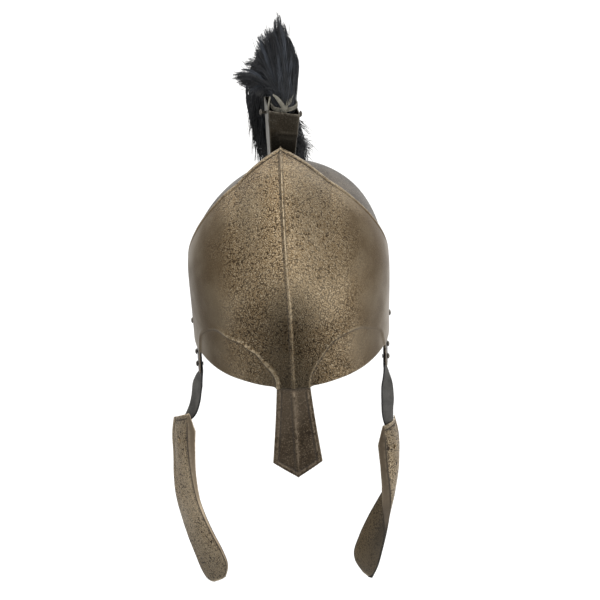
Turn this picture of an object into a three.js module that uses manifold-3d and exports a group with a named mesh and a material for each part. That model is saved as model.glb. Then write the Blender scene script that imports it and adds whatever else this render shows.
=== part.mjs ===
// Open-faced Greek helmet: a sheet-metal bowl with a pedimented brow plate, a nasal, cheek plates that
// hang from leather straps, and a black horsehair plume in a flared socket on the crown.
// Millimetres, +Z up, the face towards -Y. The origin is the head seat, the inside of the crown.
import * as THREE from 'three';
import { mergeVertices } from 'three/addons/utils/BufferGeometryUtils.js';
import Module from 'manifold-3d';

const wasm = await Module();
wasm.setup();

// ---- Driving dimensions. Heights are measured from the lower edge of the brow plate. ----
const GAP = 0.35; // clearance that neighbouring pieces keep
const SHEET = 1.2; // steel sheet
const BOWL = {
  halfWidth: 100,
  halfLength: 114.5,
  shoulder: 72, // height where the wall turns into the dome
  crown: 181, // height of the crown outside
  skirt: -72, // level that the wall is drawn down to before it is trimmed
  flare: 15, // how far the nape stands out at its lowest edge
};
const HEAD_SEAT = BOWL.crown - SHEET; // the inside of the crown
const BROW = {
  halfWidth: 102,
  flare: 1.5, // extra half width at the shoulder
  halfLength: 118.6,
  crown: 187, // height that the plate would have over the crown without its keel
  keelTop: 20.5, // keel height at the apex
  keelFoot: 0.8, // keel height at the lower edge
  keelSpread: 48, // half width over which the keel rises
  ridge: 1.4, // narrow crest along the keel
  border: 1.0, // raised border along the upper edge
  rearAngle: 94, // where the lower edge ends, in degrees round from the front
};
const STRAP = { width: 15, thickness: 2.2 };
const RIVET = { head: 7.2, height: 2.5, shank: 3.2, hole: 3.9, back: 6.4, backHeight: 1.2, backEdge: 0.4 };
const SOCKET = {
  wall: 1.5,
  turn: 7, // degrees round the vertical
  foot: 14.2, // how far each foot reaches beyond the box
  footHalfWidth: 8,
  rivet: 9.5, // from the box to the middle of each foot's rivet
};

// ---- Finishes ----
const finish = {
  bronze: () => new THREE.MeshStandardMaterial({ color: 0x64553f, roughness: 0.45, metalness: 0.6 }),
  leather: () => new THREE.MeshStandardMaterial({ color: 0x2b2b29, roughness: 0.6, metalness: 0 }),
  rivet: () => new THREE.MeshStandardMaterial({ color: 0x2e2b28, roughness: 0.4, metalness: 0.8 }),
  hair: () => new THREE.MeshStandardMaterial({ color: 0x0c0d10, roughness: 0.6, metalness: 0 }),
  cord: () => new THREE.MeshStandardMaterial({ color: 0xb5a98c, roughness: 0.8, metalness: 0 }),
};

// ---- Small tools ----
const radians = THREE.MathUtils.degToRad;
const smooth = (x, from, to) => THREE.MathUtils.smoothstep(x, from, to);
const mix = THREE.MathUtils.lerp;

// A closed body as a Manifold solid, with the winding turned outwards.
function toSolid(geometry) {
  const bare = geometry.clone();
  bare.deleteAttribute('normal');
  bare.deleteAttribute('uv');
  const merged = mergeVertices(bare, 1e-4);
  const point = merged.attributes.position;
  const corners = merged.index.array;
  const kept = [];
  let volume = 0;
  for (let i = 0; i < corners.length; i += 3) {
    const [a, b, c] = [corners[i], corners[i + 1], corners[i + 2]];
    if (a === b || b === c || a === c) continue;
    kept.push(a, b, c);
    const [p, q, r] = [a, b, c].map((k) => new THREE.Vector3().fromBufferAttribute(point, k));
    volume += p.dot(q.cross(r));
  }
  if (volume < 0) kept.reverse();
  return new wasm.Manifold(new wasm.Mesh({
    numProp: 3,
    vertProperties: Float32Array.from(point.array),
    triVerts: Uint32Array.from(kept),
  }));
}

function toGeometry(solid) {
  const mesh = solid.getMesh();
  const geometry = new THREE.BufferGeometry();
  geometry.setAttribute('position', new THREE.BufferAttribute(mesh.vertProperties, 3));
  geometry.setIndex(new THREE.BufferAttribute(mesh.triVerts, 1));
  geometry.computeVertexNormals();
  return geometry;
}

// A sheet-like body: a box whose grid is carried to place(across, along, depth), depth 0 on the outer face
// and 1 on the inner one. The two lists hold the stations of the grid.
function sheet(acrossStations, alongStations, place) {
  const box = new THREE.BoxGeometry(1, 1, 1, acrossStations.length - 1, alongStations.length - 1, 1);
  const position = box.attributes.position;
  for (let i = 0; i < position.count; i += 1) {
    const across = acrossStations[Math.round((position.getX(i) + 0.5) * (acrossStations.length - 1))];
    const along = alongStations[Math.round((position.getY(i) + 0.5) * (alongStations.length - 1))];
    const point = place(across, along, 0.5 - position.getZ(i));
    position.setXYZ(i, point.x, point.y, point.z);
  }
  return box;
}

// n + 1 even stations from a to b.
const even = (n, a = 0, b = 1) => Array.from({ length: n + 1 }, (_, i) => mix(a, b, i / n));

// A smooth curve through the named columns of a table's rows.
function route(rows, columns) {
  return new THREE.CatmullRomCurve3(rows.map((row) => new THREE.Vector3(...columns.map((c) => row[c]))));
}

// Value of a column between a table's evenly spaced rows.
function between(rows, column, t) {
  const at = THREE.MathUtils.clamp(t, 0, 1) * (rows.length - 1);
  const i = Math.min(Math.floor(at), rows.length - 2);
  return mix(rows[i][column], rows[i + 1][column], at - i);
}

// A round bar from point to point, used for drilling and for shanks.
function bar(from, to, diameter, sides = 12) {
  const axis = new THREE.Vector3().subVectors(to, from);
  const geometry = new THREE.CylinderGeometry(diameter / 2, diameter / 2, axis.length(), sides);
  geometry.applyQuaternion(new THREE.Quaternion().setFromUnitVectors(new THREE.Vector3(0, 1, 0),
    axis.clone().normalize()));
  const middle = new THREE.Vector3().addVectors(from, to).multiplyScalar(0.5);
  return geometry.translate(middle.x, middle.y, middle.z);
}

// A rivet along its axis: domed head outside, flat back head at the given grip behind it.
function rivetGeometry(grip, head = RIVET.head, height = RIVET.height) {
  const shank = RIVET.shank / 2;
  const dome = even(3).map((t) => {
    const angle = t * Math.PI / 2;
    return new THREE.Vector2(Math.sin(angle) * head / 2, height * Math.cos(angle));
  });
  dome[0].x = 0;
  const profile = [
    ...dome,
    new THREE.Vector2(shank, 0),
    new THREE.Vector2(shank, -grip),
    new THREE.Vector2(RIVET.back / 2, -grip),
    new THREE.Vector2(RIVET.back / 2 - RIVET.backEdge, -grip - RIVET.backHeight),
    new THREE.Vector2(0, -grip - RIVET.backHeight),
  ];
  return new THREE.LatheGeometry(profile, 12);
}

// ---- Bowl ----
// The dome and wall as a lathe, inside and outside, then stretched lengthwise and flared at the nape.
function bowlBody(stand, thickness) {
  const dome = (radius, top) => even(9).map((t) => {
    const angle = t * Math.PI / 2;
    const rise = (top - BOWL.shoulder) * Math.cos(angle);
    return new THREE.Vector2(radius * Math.sin(angle), BOWL.shoulder + rise);
  });
  const outer = dome(BOWL.halfWidth + stand, BOWL.crown + stand);
  const levels = [24, -24, -48, BOWL.skirt];
  outer.push(...levels.map((level) => new THREE.Vector2(BOWL.halfWidth + stand, level)));
  let profile = [...outer, new THREE.Vector2(0, BOWL.skirt)];
  if (thickness > 0) {
    const inner = dome(BOWL.halfWidth + stand - thickness, BOWL.crown + stand - thickness);
    inner.push(...levels.map((level) => new THREE.Vector2(BOWL.halfWidth + stand - thickness, level)));
    profile = [...outer, ...inner.reverse()];
  }
  profile[0].x = 0;
  profile[profile.length - 1].x = 0;
  const geometry = new THREE.LatheGeometry(profile.reverse(), 48);
  geometry.rotateX(Math.PI / 2);
  geometry.scale(1, BOWL.halfLength / BOWL.halfWidth, 1);
  const position = geometry.attributes.position;
  for (let i = 0; i < position.count; i += 1) {
    const radius = Math.hypot(position.getX(i), position.getY(i));
    if (radius < 1 || position.getZ(i) > 0) continue;
    const nape = smooth(position.getY(i) / radius, 0.1, 1);
    const out = BOWL.flare * nape * (position.getZ(i) / BOWL.skirt) ** 2;
    position.setX(i, position.getX(i) * (1 + out / radius));
    position.setY(i, position.getY(i) * (1 + out / radius));
  }
  return geometry;
}

// The lower outline seen from the side: y is along the helmet and z its height.
const OUTLINE = {
  front: { y: -150, z: 4 },
  openingTop: { y: -46, z: 4 },
  openingCorner: { y: -30, z: 3 },
  tabFront: { y: -27, z: -18 },
  tabLow: { y: -25, z: -34 },
  tabCorner: { y: -24, z: -41 },
  tabFoot: { y: -16, z: -41 },
  tabRear: { y: 4, z: -41 },
  sweepOut: { y: 40, z: -41 },
  sweepIn: { y: 60, z: -60 },
  nape: { y: 150, z: -62 },
  below: -90,
};

// What is trimmed off below: the face opening, the strap tabs and the sweep down to the nape.
function trim() {
  const at = (...names) => names.flatMap((name) => [OUTLINE[name].y, OUTLINE[name].z]);
  const outline = new THREE.Shape();
  outline.moveTo(...at('front'));
  outline.lineTo(...at('openingTop'));
  outline.quadraticCurveTo(...at('openingCorner', 'tabFront'));
  outline.lineTo(...at('tabLow'));
  outline.quadraticCurveTo(...at('tabCorner', 'tabFoot'));
  outline.lineTo(...at('tabRear'));
  outline.bezierCurveTo(...at('sweepOut', 'sweepIn', 'nape'));
  outline.lineTo(OUTLINE.nape.y, OUTLINE.below);
  outline.lineTo(OUTLINE.front.y, OUTLINE.below);
  const depth = 3 * BOWL.halfWidth;
  const geometry = new THREE.ExtrudeGeometry(outline, { depth, bevelEnabled: false, curveSegments: 6 });
  // The extrusion runs along X, with the outline's y along Y and its z up.
  geometry.applyMatrix4(new THREE.Matrix4().makeBasis(
    new THREE.Vector3(0, 1, 0), new THREE.Vector3(0, 0, 1), new THREE.Vector3(1, 0, 0)));
  return geometry.translate(-depth / 2, 0, 0);
}

// ---- Brow plate ----
// The plate's form, from a centre at shoulder height: an oval wall with a dome above, keeled in the middle.
const browCentre = new THREE.Vector3(0, 0, BOWL.shoulder);
function browForm(direction, stand = 0) {
  const d = direction.clone().normalize();
  const width = BROW.halfWidth + BROW.flare;
  const rise = d.z > 0 ? d.z / (BROW.crown - BOWL.shoulder) : 0;
  const reach = 1 / Math.hypot(d.x / width, d.y / BROW.halfLength, rise);
  const lift = smooth(Math.atan2(d.z, -d.y), -0.4, Math.PI / 2 + 0.1);
  const aside = Math.abs(d.x) * reach;
  const keel = mix(BROW.keelFoot, BROW.keelTop, lift) * Math.max(0, 1 - aside / BROW.keelSpread) ** 1.3;
  const point = d.multiplyScalar(reach + keel + stand).add(browCentre);
  const narrowing = 1 - (BROW.flare / width) * smooth(BOWL.shoulder - point.z, 0, BOWL.shoulder);
  point.x *= narrowing;
  return point;
}

// The upper edge from the apex round the gable to the rear corner; the height follows from the form.
const BROW_EDGE = [
  { x: 0, y: 0, z: 208 },
  { x: 24, y: -5, z: 186 },
  { x: 48, y: -11, z: 160 },
  { x: 67, y: -13, z: 140 },
  { x: 84, y: -6, z: 112 },
  { x: 96, y: 6, z: 89 },
  { x: 103, y: 15, z: 66 },
];
const browEdge = route(BROW_EDGE, ['x', 'y', 'z']);

function browPoint(across, along, stand) {
  const side = Math.abs(across);
  const upper = browEdge.getPointAt(side).sub(browCentre).normalize();
  const angle = side * radians(BROW.rearAngle);
  const lower = new THREE.Vector3(
    (BROW.halfWidth + BROW.flare) * Math.sin(angle), -BROW.halfLength * Math.cos(angle), -BOWL.shoulder,
  ).normalize();
  const span = lower.angleTo(upper);
  const direction = lower.clone().multiplyScalar(Math.sin((1 - along) * span))
    .add(upper.clone().multiplyScalar(Math.sin(along * span)));
  if (across < 0) direction.x *= -1;
  return browForm(direction, stand);
}

const gather = (n) => even(n).map((t) => 0.28 * t + 0.72 * t * t); // stations crowded at the ridge
const browAcross = [...gather(15).slice(1).reverse().map((t) => -t), ...gather(15)];
const browAlong = [...even(13, 0, 0.955), 0.967, 1];

function browPlate() {
  return sheet(browAcross, browAlong, (across, along, depth) => {
    const crest = BROW.ridge * Math.max(0, 1 - Math.abs(across) / 0.03);
    const border = BROW.border * smooth(along, 0.957, 0.968);
    const stand = depth === 0 ? Math.max(crest, border) : -SHEET;
    return browPoint(across, along, stand);
  });
}

// ---- Nasal ----
// A pointed plate with a low ridge, its curved tongue tucked between the bowl and the brow plate.
const NASAL = {
  tongueTop: 22,
  corners: -75, // height of the two lower corners
  tip: -89,
  topHalfWidth: 16.4,
  lowHalfWidth: 24.6,
  face: 116.3, // how far the tongue's outer face stands in front of the middle
  lean: 23, // how far the corners stand forward of the tongue
  ridge: 1.6,
  sway: 1.4, // the tip sits a little to one side
};

function nasalPoint(across, along, depth) {
  const fall = Math.max(0, along);
  const drop = (NASAL.corners - NASAL.tip) * fall * (1 - Math.abs(across));
  const height = (along < 0 ? -along * NASAL.tongueTop : along * NASAL.corners) - drop;
  const half = mix(NASAL.topHalfWidth, NASAL.lowHalfWidth, fall ** 1.2);
  const x = across * half + NASAL.sway * fall;
  const oval = NASAL.face * (1 - Math.sqrt(1 - (across * half / BOWL.halfWidth) ** 2));
  const ridge = NASAL.ridge * smooth(along, 0.06, 0.1) * Math.max(0, 1 - Math.abs(across) / 0.12);
  const inset = depth === 0 ? -ridge : SHEET;
  const lean = fall > 0 ? NASAL.lean * (height / NASAL.corners) : 0;
  const y = -NASAL.face + oval * mix(1, 0.6, fall) - lean + inset;
  return new THREE.Vector3(x, y, height);
}
const nasalSheet = sheet([-1, -0.75, -0.5, -0.25, -0.1, 0, 0.1, 0.25, 0.5, 0.75, 1],
  [1, 0.85, 0.7, 0.55, 0.4, 0.25, 0.12, 0.05, 0, -0.5, -1], nasalPoint);

// ---- Cheek plates ----
// Each hangs a little differently, so each has its own bend. A row is a station from the top down, with the
// rear edge, the crease at the front, the width of the flange folded in beyond it, and the outward bow.
const CHEEKS = {
  left: [
    { rx: -130, ry: 8, rz: -111, fx: -113, fy: -28, fz: -85, flange: 1.5, bow: 2 },
    { rx: -133, ry: 8, rz: -132, fx: -115, fy: -29, fz: -109, flange: 9, bow: 3 },
    { rx: -134, ry: 7, rz: -160, fx: -115, fy: -31, fz: -137, flange: 7, bow: 3 },
    { rx: -135, ry: 5, rz: -186, fx: -113, fy: -34, fz: -163, flange: 4.5, bow: 3 },
    { rx: -134, ry: 1, rz: -210, fx: -109, fy: -39, fz: -188, flange: 3, bow: 3 },
    { rx: -130, ry: -4, rz: -232, fx: -103, fy: -45, fz: -206, flange: 2.5, bow: 3 },
    { rx: -124, ry: -11, rz: -254, fx: -95, fy: -51, fz: -225, flange: 2.2, bow: 3 },
    { rx: -116, ry: -19, rz: -277, fx: -86, fy: -58, fz: -243, flange: 2, bow: 2.5 },
    { rx: -110, ry: -25, rz: -293, fx: -81, fy: -62, fz: -258, flange: 1.6, bow: 2 },
    { rx: -102, ry: -33, rz: -305, fx: -83, fy: -61, fz: -277, flange: 1.2, bow: 1 },
  ],
  right: [
    { rx: 106, ry: 8, rz: -120, fx: 94, fy: -28, fz: -110, flange: 1.5, bow: 4 },
    { rx: 110, ry: 8, rz: -141, fx: 95, fy: -30, fz: -134, flange: 8, bow: 5 },
    { rx: 110, ry: 7, rz: -164, fx: 96, fy: -33, fz: -158, flange: 6.5, bow: 6 },
    { rx: 106, ry: 6, rz: -187, fx: 98, fy: -36, fz: -181, flange: 4.5, bow: 6 },
    { rx: 97, ry: 4, rz: -207, fx: 99, fy: -39, fz: -202, flange: 3, bow: 6 },
    { rx: 86, ry: 1, rz: -227, fx: 97, fy: -42, fz: -222, flange: 2.5, bow: 5 },
    { rx: 75, ry: -3, rz: -247, fx: 93, fy: -46, fz: -242, flange: 2.2, bow: 4 },
    { rx: 65, ry: -8, rz: -268, fx: 88, fy: -50, fz: -260, flange: 2, bow: 3 },
    { rx: 59, ry: -13, rz: -286, fx: 83, fy: -53, fz: -276, flange: 1.6, bow: 2 },
    { rx: 63, ry: -20, rz: -303, fx: 76, fy: -53, fz: -293, flange: 1.2, bow: 1 },
  ],
};
const CREASE = 0.84; // how far across the plate the crease lies

// A cheek plate's outer face; across runs from the rear edge past the crease to the flange's edge.
function cheekFace(side, across, along) {
  const rows = CHEEKS[side];
  const rear = route(rows, ['rx', 'ry', 'rz']).getPoint(along);
  const front = route(rows, ['fx', 'fy', 'fz']).getPoint(along);
  const inward = side === 'left' ? 1 : -1;
  const chord = new THREE.Vector3().subVectors(front, rear);
  const out = new THREE.Vector3(0, 0, -inward).cross(chord).normalize();
  const t = Math.min(across / CREASE, 1);
  const bow = 4 * t * (1 - t) * between(rows, 'bow', along);
  const point = rear.addScaledVector(chord, t).addScaledVector(out, bow);
  if (across > CREASE) {
    const folded = chord.normalize().multiplyScalar(0.35).addScaledVector(out, -0.94).normalize();
    point.addScaledVector(folded, between(rows, 'flange', along) * (across - CREASE) / (1 - CREASE));
  }
  return point;
}

const outwards = { left: -1, right: 1 }; // the way along X that leads away from the head

// A point of a side piece's face, stood off outwards, away from the head.
function standOff(side, face, across, along, stand) {
  const step = 0.004;
  const across0 = Math.min(Math.max(across, step), 1 - step);
  const along0 = Math.min(Math.max(along, step), 1 - step);
  const alongAcross = face(across0 + step, along0).sub(face(across0 - step, along0));
  const alongDown = face(across0, along0 + step).sub(face(across0, along0 - step));
  const normal = alongAcross.cross(alongDown).normalize();
  return face(across, along).addScaledVector(normal, outwards[side] * stand);
}

function cheekPlate(side) {
  const face = (across, along) => cheekFace(side, across, along);
  return sheet([0, 0.16, 0.34, 0.52, 0.7, CREASE, 0.92, 1], even(18),
    (across, along, depth) => standOff(side, face, across, along, -SHEET * depth));
}

// ---- Straps ----
// The middle of each strap from the tab down, and how far its width is turned from lengthwise, in degrees.
const STRAP_ROWS = {
  left: [
    { x: -96.1, y: -13, z: -8, turn: 5.5 },
    { x: -96.1, y: -13, z: -24, turn: 5.5 },
    { x: -96.1, y: -13, z: -42, turn: 5.5 },
    { x: -99.6, y: -13.5, z: -55, turn: 18 },
    { x: -104, y: -14.5, z: -70, turn: 31 },
    { x: -109, y: -15, z: -86, turn: 33 },
  ],
  right: [
    { x: 96.0, y: -13, z: -8, turn: 5.5 },
    { x: 96.0, y: -13, z: -24, turn: 5.5 },
    { x: 96.0, y: -13, z: -42, turn: 5.5 },
    { x: 97, y: -14, z: -54, turn: 24 },
    { x: 98, y: -16, z: -68, turn: 46 },
    { x: 98.4, y: -17, z: -83, turn: 52 },
    { x: 96.8, y: -14, z: -102, turn: 28 },
  ],
};
const STRAP_LIES = { across: 0.5, alongs: [0.07, 0.13, 0.2] }; // where it lies against the cheek plate
const CHEEK_RIVET = 0.145; // how far down the cheek plate its rivet sits

// The strap's middle and the direction across it, from the tab to its end behind the cheek plate.
function strapRoute(side) {
  const inward = -outwards[side];
  const rows = STRAP_ROWS[side].map((row) => ({
    middle: new THREE.Vector3(row.x, row.y, row.z),
    across: new THREE.Vector3(inward * Math.sin(radians(row.turn)), -Math.cos(radians(row.turn)), 0),
  }));
  const face = (across, along) => cheekFace(side, across, along);
  const bed = -(SHEET + GAP + 0.95 + STRAP.thickness / 2);
  STRAP_LIES.alongs.forEach((along) => {
    const ahead = face(STRAP_LIES.across + 0.1, along).sub(face(STRAP_LIES.across - 0.1, along));
    rows.push({ middle: standOff(side, face, STRAP_LIES.across, along, bed), across: ahead.normalize() });
  });
  return {
    middle: new THREE.CatmullRomCurve3(rows.map((row) => row.middle)),
    across: new THREE.CatmullRomCurve3(rows.map((row) => row.across)),
  };
}

function strap(side) {
  const { middle, across } = strapRoute(side);
  const face = (t, along) => middle.getPoint(along)
    .addScaledVector(across.getPoint(along).normalize(), (t - 0.5) * STRAP.width);
  const half = STRAP.thickness / 2;
  return sheet([0, 0.5, 1], even(26), (t, along, depth) => (
    standOff(side, face, t, along, half * (1 - 2 * depth))));
}

// ---- Plume socket ----
// A flared box of four walls, leaning and turned a little on the crown, with a foot before and behind.
const BOX = {
  low: { x: -2.4, y: 36, z: 160, halfWidth: 11.2, halfDepth: 15 },
  high: { x: 3, y: 36.5, z: 237, halfWidth: 16.4, halfDepth: 18.5 },
  middle: -1.5, // where the box's middle stands across the crown at its feet
  slant: 3.4, // the rim is this much higher at its left edge and lower at its right
};

const OPEN_ENDS = 6; // the hollow is cut this far past both ends of the box

// The box, its walls moved in by shrink and both its ends moved out by extra.
function boxBody(shrink, extra) {
  const geometry = new THREE.BoxGeometry(2, 2, 1);
  const position = geometry.attributes.position;
  const turn = radians(SOCKET.turn);
  for (let i = 0; i < position.count; i += 1) {
    const end = position.getZ(i) > 0 ? BOX.high : BOX.low;
    const across = position.getX(i) * (end.halfWidth - shrink);
    const deep = position.getY(i) * (end.halfDepth - shrink);
    const slant = position.getZ(i) > 0 ? -BOX.slant * across / BOX.high.halfWidth + extra : -extra;
    position.setXYZ(i,
      end.x + across * Math.cos(turn) - deep * Math.sin(turn),
      end.y + across * Math.sin(turn) + deep * Math.cos(turn),
      end.z + slant);
  }
  return toSolid(geometry);
}

function crestHolder() {
  const domeSpace = toSolid(bowlBody(GAP, 0));
  const walls = boxBody(0, 0).subtract(boxBody(SOCKET.wall, OPEN_ENDS));
  const skin = toSolid(bowlBody(GAP + SOCKET.wall, 0)).subtract(domeSpace);
  const reach = BOX.low.halfDepth + SOCKET.foot;
  const strip = new THREE.BoxGeometry(2 * SOCKET.footHalfWidth, 2 * reach, BOX.high.z - BOX.low.z);
  strip.rotateZ(radians(SOCKET.turn)).translate(BOX.middle, BOX.low.y, BOWL.crown);
  const feet = skin.intersect(toSolid(strip)).subtract(boxBody(SOCKET.wall, OPEN_ENDS));
  return walls.subtract(domeSpace).add(feet);
}

// ---- Plume ----
// The outer form of the hair: rooted in the socket, it stands up, leans and falls behind the bowl.
const PLUME = [
  { x: -1, y: 36, z: 188, a: 6, b: 8 },
  { x: 0.8, y: 36, z: 212, a: 9, b: 11 },
  { x: 2, y: 36.5, z: 232, a: 11, b: 11 },
  { x: 2, y: 37, z: 246, a: 11, b: 11 },
  { x: -7, y: 41, z: 258, a: 21, b: 16 },
  { x: -12, y: 48, z: 272, a: 25, b: 19 },
  { x: -9, y: 58, z: 287, a: 17, b: 20 },
  { x: -10, y: 76, z: 284, a: 18, b: 19 },
  { x: -14, y: 90, z: 258, a: 23, b: 17 },
  { x: -14, y: 98, z: 224, a: 25, b: 15 },
  { x: -9, y: 105, z: 188, a: 26, b: 14 },
  { x: -2, y: 115, z: 150, a: 27, b: 12.5 },
  { x: 0, y: 127, z: 100, a: 25, b: 11 },
  { x: 0, y: 132, z: 55, a: 21, b: 10 },
  { x: 0, y: 132, z: 22, a: 12, b: 6 },
];

function plumeBody() {
  const spine = route(PLUME, ['x', 'y', 'z']);
  const around = 16;
  const geometry = new THREE.SphereGeometry(1, around, 34);
  const position = geometry.attributes.position;
  for (let i = 0; i < position.count; i += 1) {
    const pole = Math.acos(THREE.MathUtils.clamp(position.getY(i), -1, 1)) / Math.PI;
    const ring = Math.hypot(position.getX(i), position.getZ(i));
    const end = Math.min(1, Math.sin(pole * Math.PI) / 0.35);
    const centre = spine.getPoint(pole);
    const ahead = spine.getTangent(pole);
    const deep = new THREE.Vector3(1, 0, 0).cross(ahead).normalize();
    const cosine = ring > 1e-6 ? position.getX(i) / ring : 0;
    const sine = ring > 1e-6 ? position.getZ(i) / ring : 0;
    centre.x += end * between(PLUME, 'a', pole) * cosine;
    centre.addScaledVector(deep, end * between(PLUME, 'b', pole) * sine);
    position.setXYZ(i, centre.x, centre.y, centre.z);
  }
  return toSolid(geometry);
}

const BINDING = { x: 2, y: 36.7, z: 239.5, inner: 12.1, outer: 13.8, height: 9 };
function bindingRing() {
  const { inner, outer, height } = BINDING;
  const profile = [[inner, -1], [outer - 0.8, -1], [outer, -0.5], [outer, 0.5], [outer - 0.8, 1], [inner, 1],
    [inner, -1]].map(([radius, end]) => new THREE.Vector2(radius, end * height / 2));
  const ring = new THREE.LatheGeometry(profile, 24).rotateX(Math.PI / 2);
  return ring.translate(BINDING.x, BINDING.y, BINDING.z);
}

// The pin that holds the plume: a bar through the socket with a domed head at each end.
const PIN = { left: [-18.4, 36, 231], right: [20.6, 40, 225.5], head: 6.6, height: 2.2, shank: 3 };
function plumePin() {
  const left = new THREE.Vector3(...PIN.left);
  const right = new THREE.Vector3(...PIN.right);
  const half = left.distanceTo(right) / 2;
  const dome = even(4).map((t) => [Math.sin(t * Math.PI / 2) * PIN.head / 2,
    half + PIN.height * Math.cos(t * Math.PI / 2)]);
  dome[0][0] = 0;
  const upper = [...dome, [PIN.shank / 2, half]];
  const lower = upper.map(([radius, level]) => [radius, -level]).reverse();
  const geometry = new THREE.LatheGeometry([...upper, ...lower].map((p) => new THREE.Vector2(...p)), 14);
  const axis = new THREE.Vector3().subVectors(right, left).normalize();
  geometry.applyQuaternion(new THREE.Quaternion().setFromUnitVectors(new THREE.Vector3(0, 1, 0), axis));
  const middle = left.clone().add(right).multiplyScalar(0.5);
  return { geometry: geometry.translate(middle.x, middle.y, middle.z), from: left, to: right };
}

// ---- Rivets ----
// Where each kind's head sits (x is the distance from the middle plane) and the thickness it grips.
const RIVETS = {
  side: { x: 103.1, y: 0, z: 13, grip: 5.6 },
  strapUpper: { x: 100.1, y: -13, z: -17, grip: 5.9 },
  strapLower: { x: 100.1, y: -13, z: -32, grip: 5.9 },
  nasal: { x: 6, y: -116.45, z: 12.5, grip: 5.3, head: 5.4, height: 0.3 },
  cheek: { grip: 5.8, head: 5.4, height: 0.9 },
  crest: { grip: 4.4, head: 6.4, height: 1.8 },
};

// Each rivet's name, the middle of its head's foot, the way it faces and its kind.
function rivets() {
  const list = [];
  const put = (name, kind, at, out) => list.push({ name, kind, at, out: out.clone().normalize() });
  Object.entries(outwards).forEach(([side, way]) => {
    const spot = ({ x, y, z }) => new THREE.Vector3(way * x, y, z);
    const outward = new THREE.Vector3(way, 0, 0);
    put(`side_rivet_${side}`, 'side', spot(RIVETS.side), outward);
    put(`strap_rivet_${side}_upper`, 'strapUpper', spot(RIVETS.strapUpper), outward);
    put(`strap_rivet_${side}_lower`, 'strapLower', spot(RIVETS.strapLower), outward);
    put(`nasal_rivet_${side}`, 'nasal', spot(RIVETS.nasal), new THREE.Vector3(0, -1, 0));
    const face = (across, along) => cheekFace(side, across, along);
    const head = standOff(side, face, STRAP_LIES.across, CHEEK_RIVET, GAP + 0.1);
    const behind = standOff(side, face, STRAP_LIES.across, CHEEK_RIVET, 0);
    put(`cheek_rivet_${side}`, 'cheek', head, new THREE.Vector3().subVectors(head, behind));
  });
  [['front', -1], ['rear', 1]].forEach(([where, way]) => {
    const reach = way * (BOX.low.halfDepth + SOCKET.rivet);
    const y = BOX.low.y + reach;
    const x = BOX.middle - reach * Math.sin(radians(SOCKET.turn));
    const ring = Math.sqrt(1 - (y / BOWL.halfLength) ** 2 - (x / BOWL.halfWidth) ** 2);
    const rise = BOWL.crown - BOWL.shoulder;
    const normal = new THREE.Vector3(x / BOWL.halfWidth ** 2, y / BOWL.halfLength ** 2, ring / rise);
    normal.normalize();
    const at = new THREE.Vector3(x, y, BOWL.shoulder + rise * ring);
    at.addScaledVector(normal, SOCKET.wall + 2 * GAP);
    put(`crest_rivet_${where}`, 'crest', at, normal);
  });
  return list;
}

// ---- Assembly ----
const helmet = new THREE.Group();
helmet.name = 'helmet';
helmet.position.z = -HEAD_SEAT;

function piece(name, solid, material) {
  const mesh = new THREE.Mesh(toGeometry(solid), material);
  mesh.name = name;
  helmet.add(mesh);
}

const bodies = {
  bowl: toSolid(bowlBody(0, SHEET)).subtract(toSolid(trim())),
  brow_plate: toSolid(browPlate()),
  nasal: toSolid(nasalSheet),
  crest_holder: crestHolder(),
  plume: plumeBody(),
  plume_binding: toSolid(bindingRing()),
};
Object.keys(outwards).forEach((side) => {
  bodies[`strap_${side}`] = toSolid(strap(side));
  bodies[`cheek_plate_${side}`] = toSolid(cheekPlate(side));
});

// Each rivet drills a clearance hole through the pieces that it joins.
const DRILL = { above: 4, below: 12 };
const joined = {
  side: () => ['bowl', 'brow_plate'],
  strap: (side) => ['bowl', `strap_${side}`],
  nasal: () => ['bowl', 'nasal'],
  cheek: (side) => [`cheek_plate_${side}`, `strap_${side}`],
  crest: () => ['bowl', 'crest_holder'],
};
rivets().forEach(({ name, kind, at, out }) => {
  const [first, , side] = name.split('_');
  const { grip, head, height } = RIVETS[kind];
  const geometry = rivetGeometry(grip, head, height);
  geometry.applyQuaternion(new THREE.Quaternion().setFromUnitVectors(new THREE.Vector3(0, 1, 0), out));
  geometry.translate(at.x, at.y, at.z);
  const hole = toSolid(bar(at.clone().addScaledVector(out, DRILL.above),
    at.clone().addScaledVector(out, -DRILL.below), RIVET.hole));
  joined[first](side).forEach((body) => {
    bodies[body] = bodies[body].subtract(hole);
  });
  const flush = kind === 'nasal' || kind === 'cheek';
  piece(name, toSolid(geometry), finish[flush ? 'bronze' : 'rivet']());
});
const pin = plumePin();
const pinHole = toSolid(bar(pin.from, pin.to, PIN.shank + 2 * GAP, 14));
bodies.crest_holder = bodies.crest_holder.subtract(pinHole);
bodies.plume = bodies.plume.subtract(pinHole);
piece('plume_pin', toSolid(pin.geometry), finish.rivet());

const finishes = { plume: 'hair', plume_binding: 'cord', strap_left: 'leather', strap_right: 'leather' };
Object.entries(bodies).forEach(([name, solid]) => piece(name, solid, finish[finishes[name] ?? 'bronze']()));

export default helmet;
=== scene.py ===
"""Open-faced Greek helmet: the sheet work, leather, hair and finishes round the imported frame."""
import math

import bpy
import numpy as np
from mathutils import Matrix, Vector, noise


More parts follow.
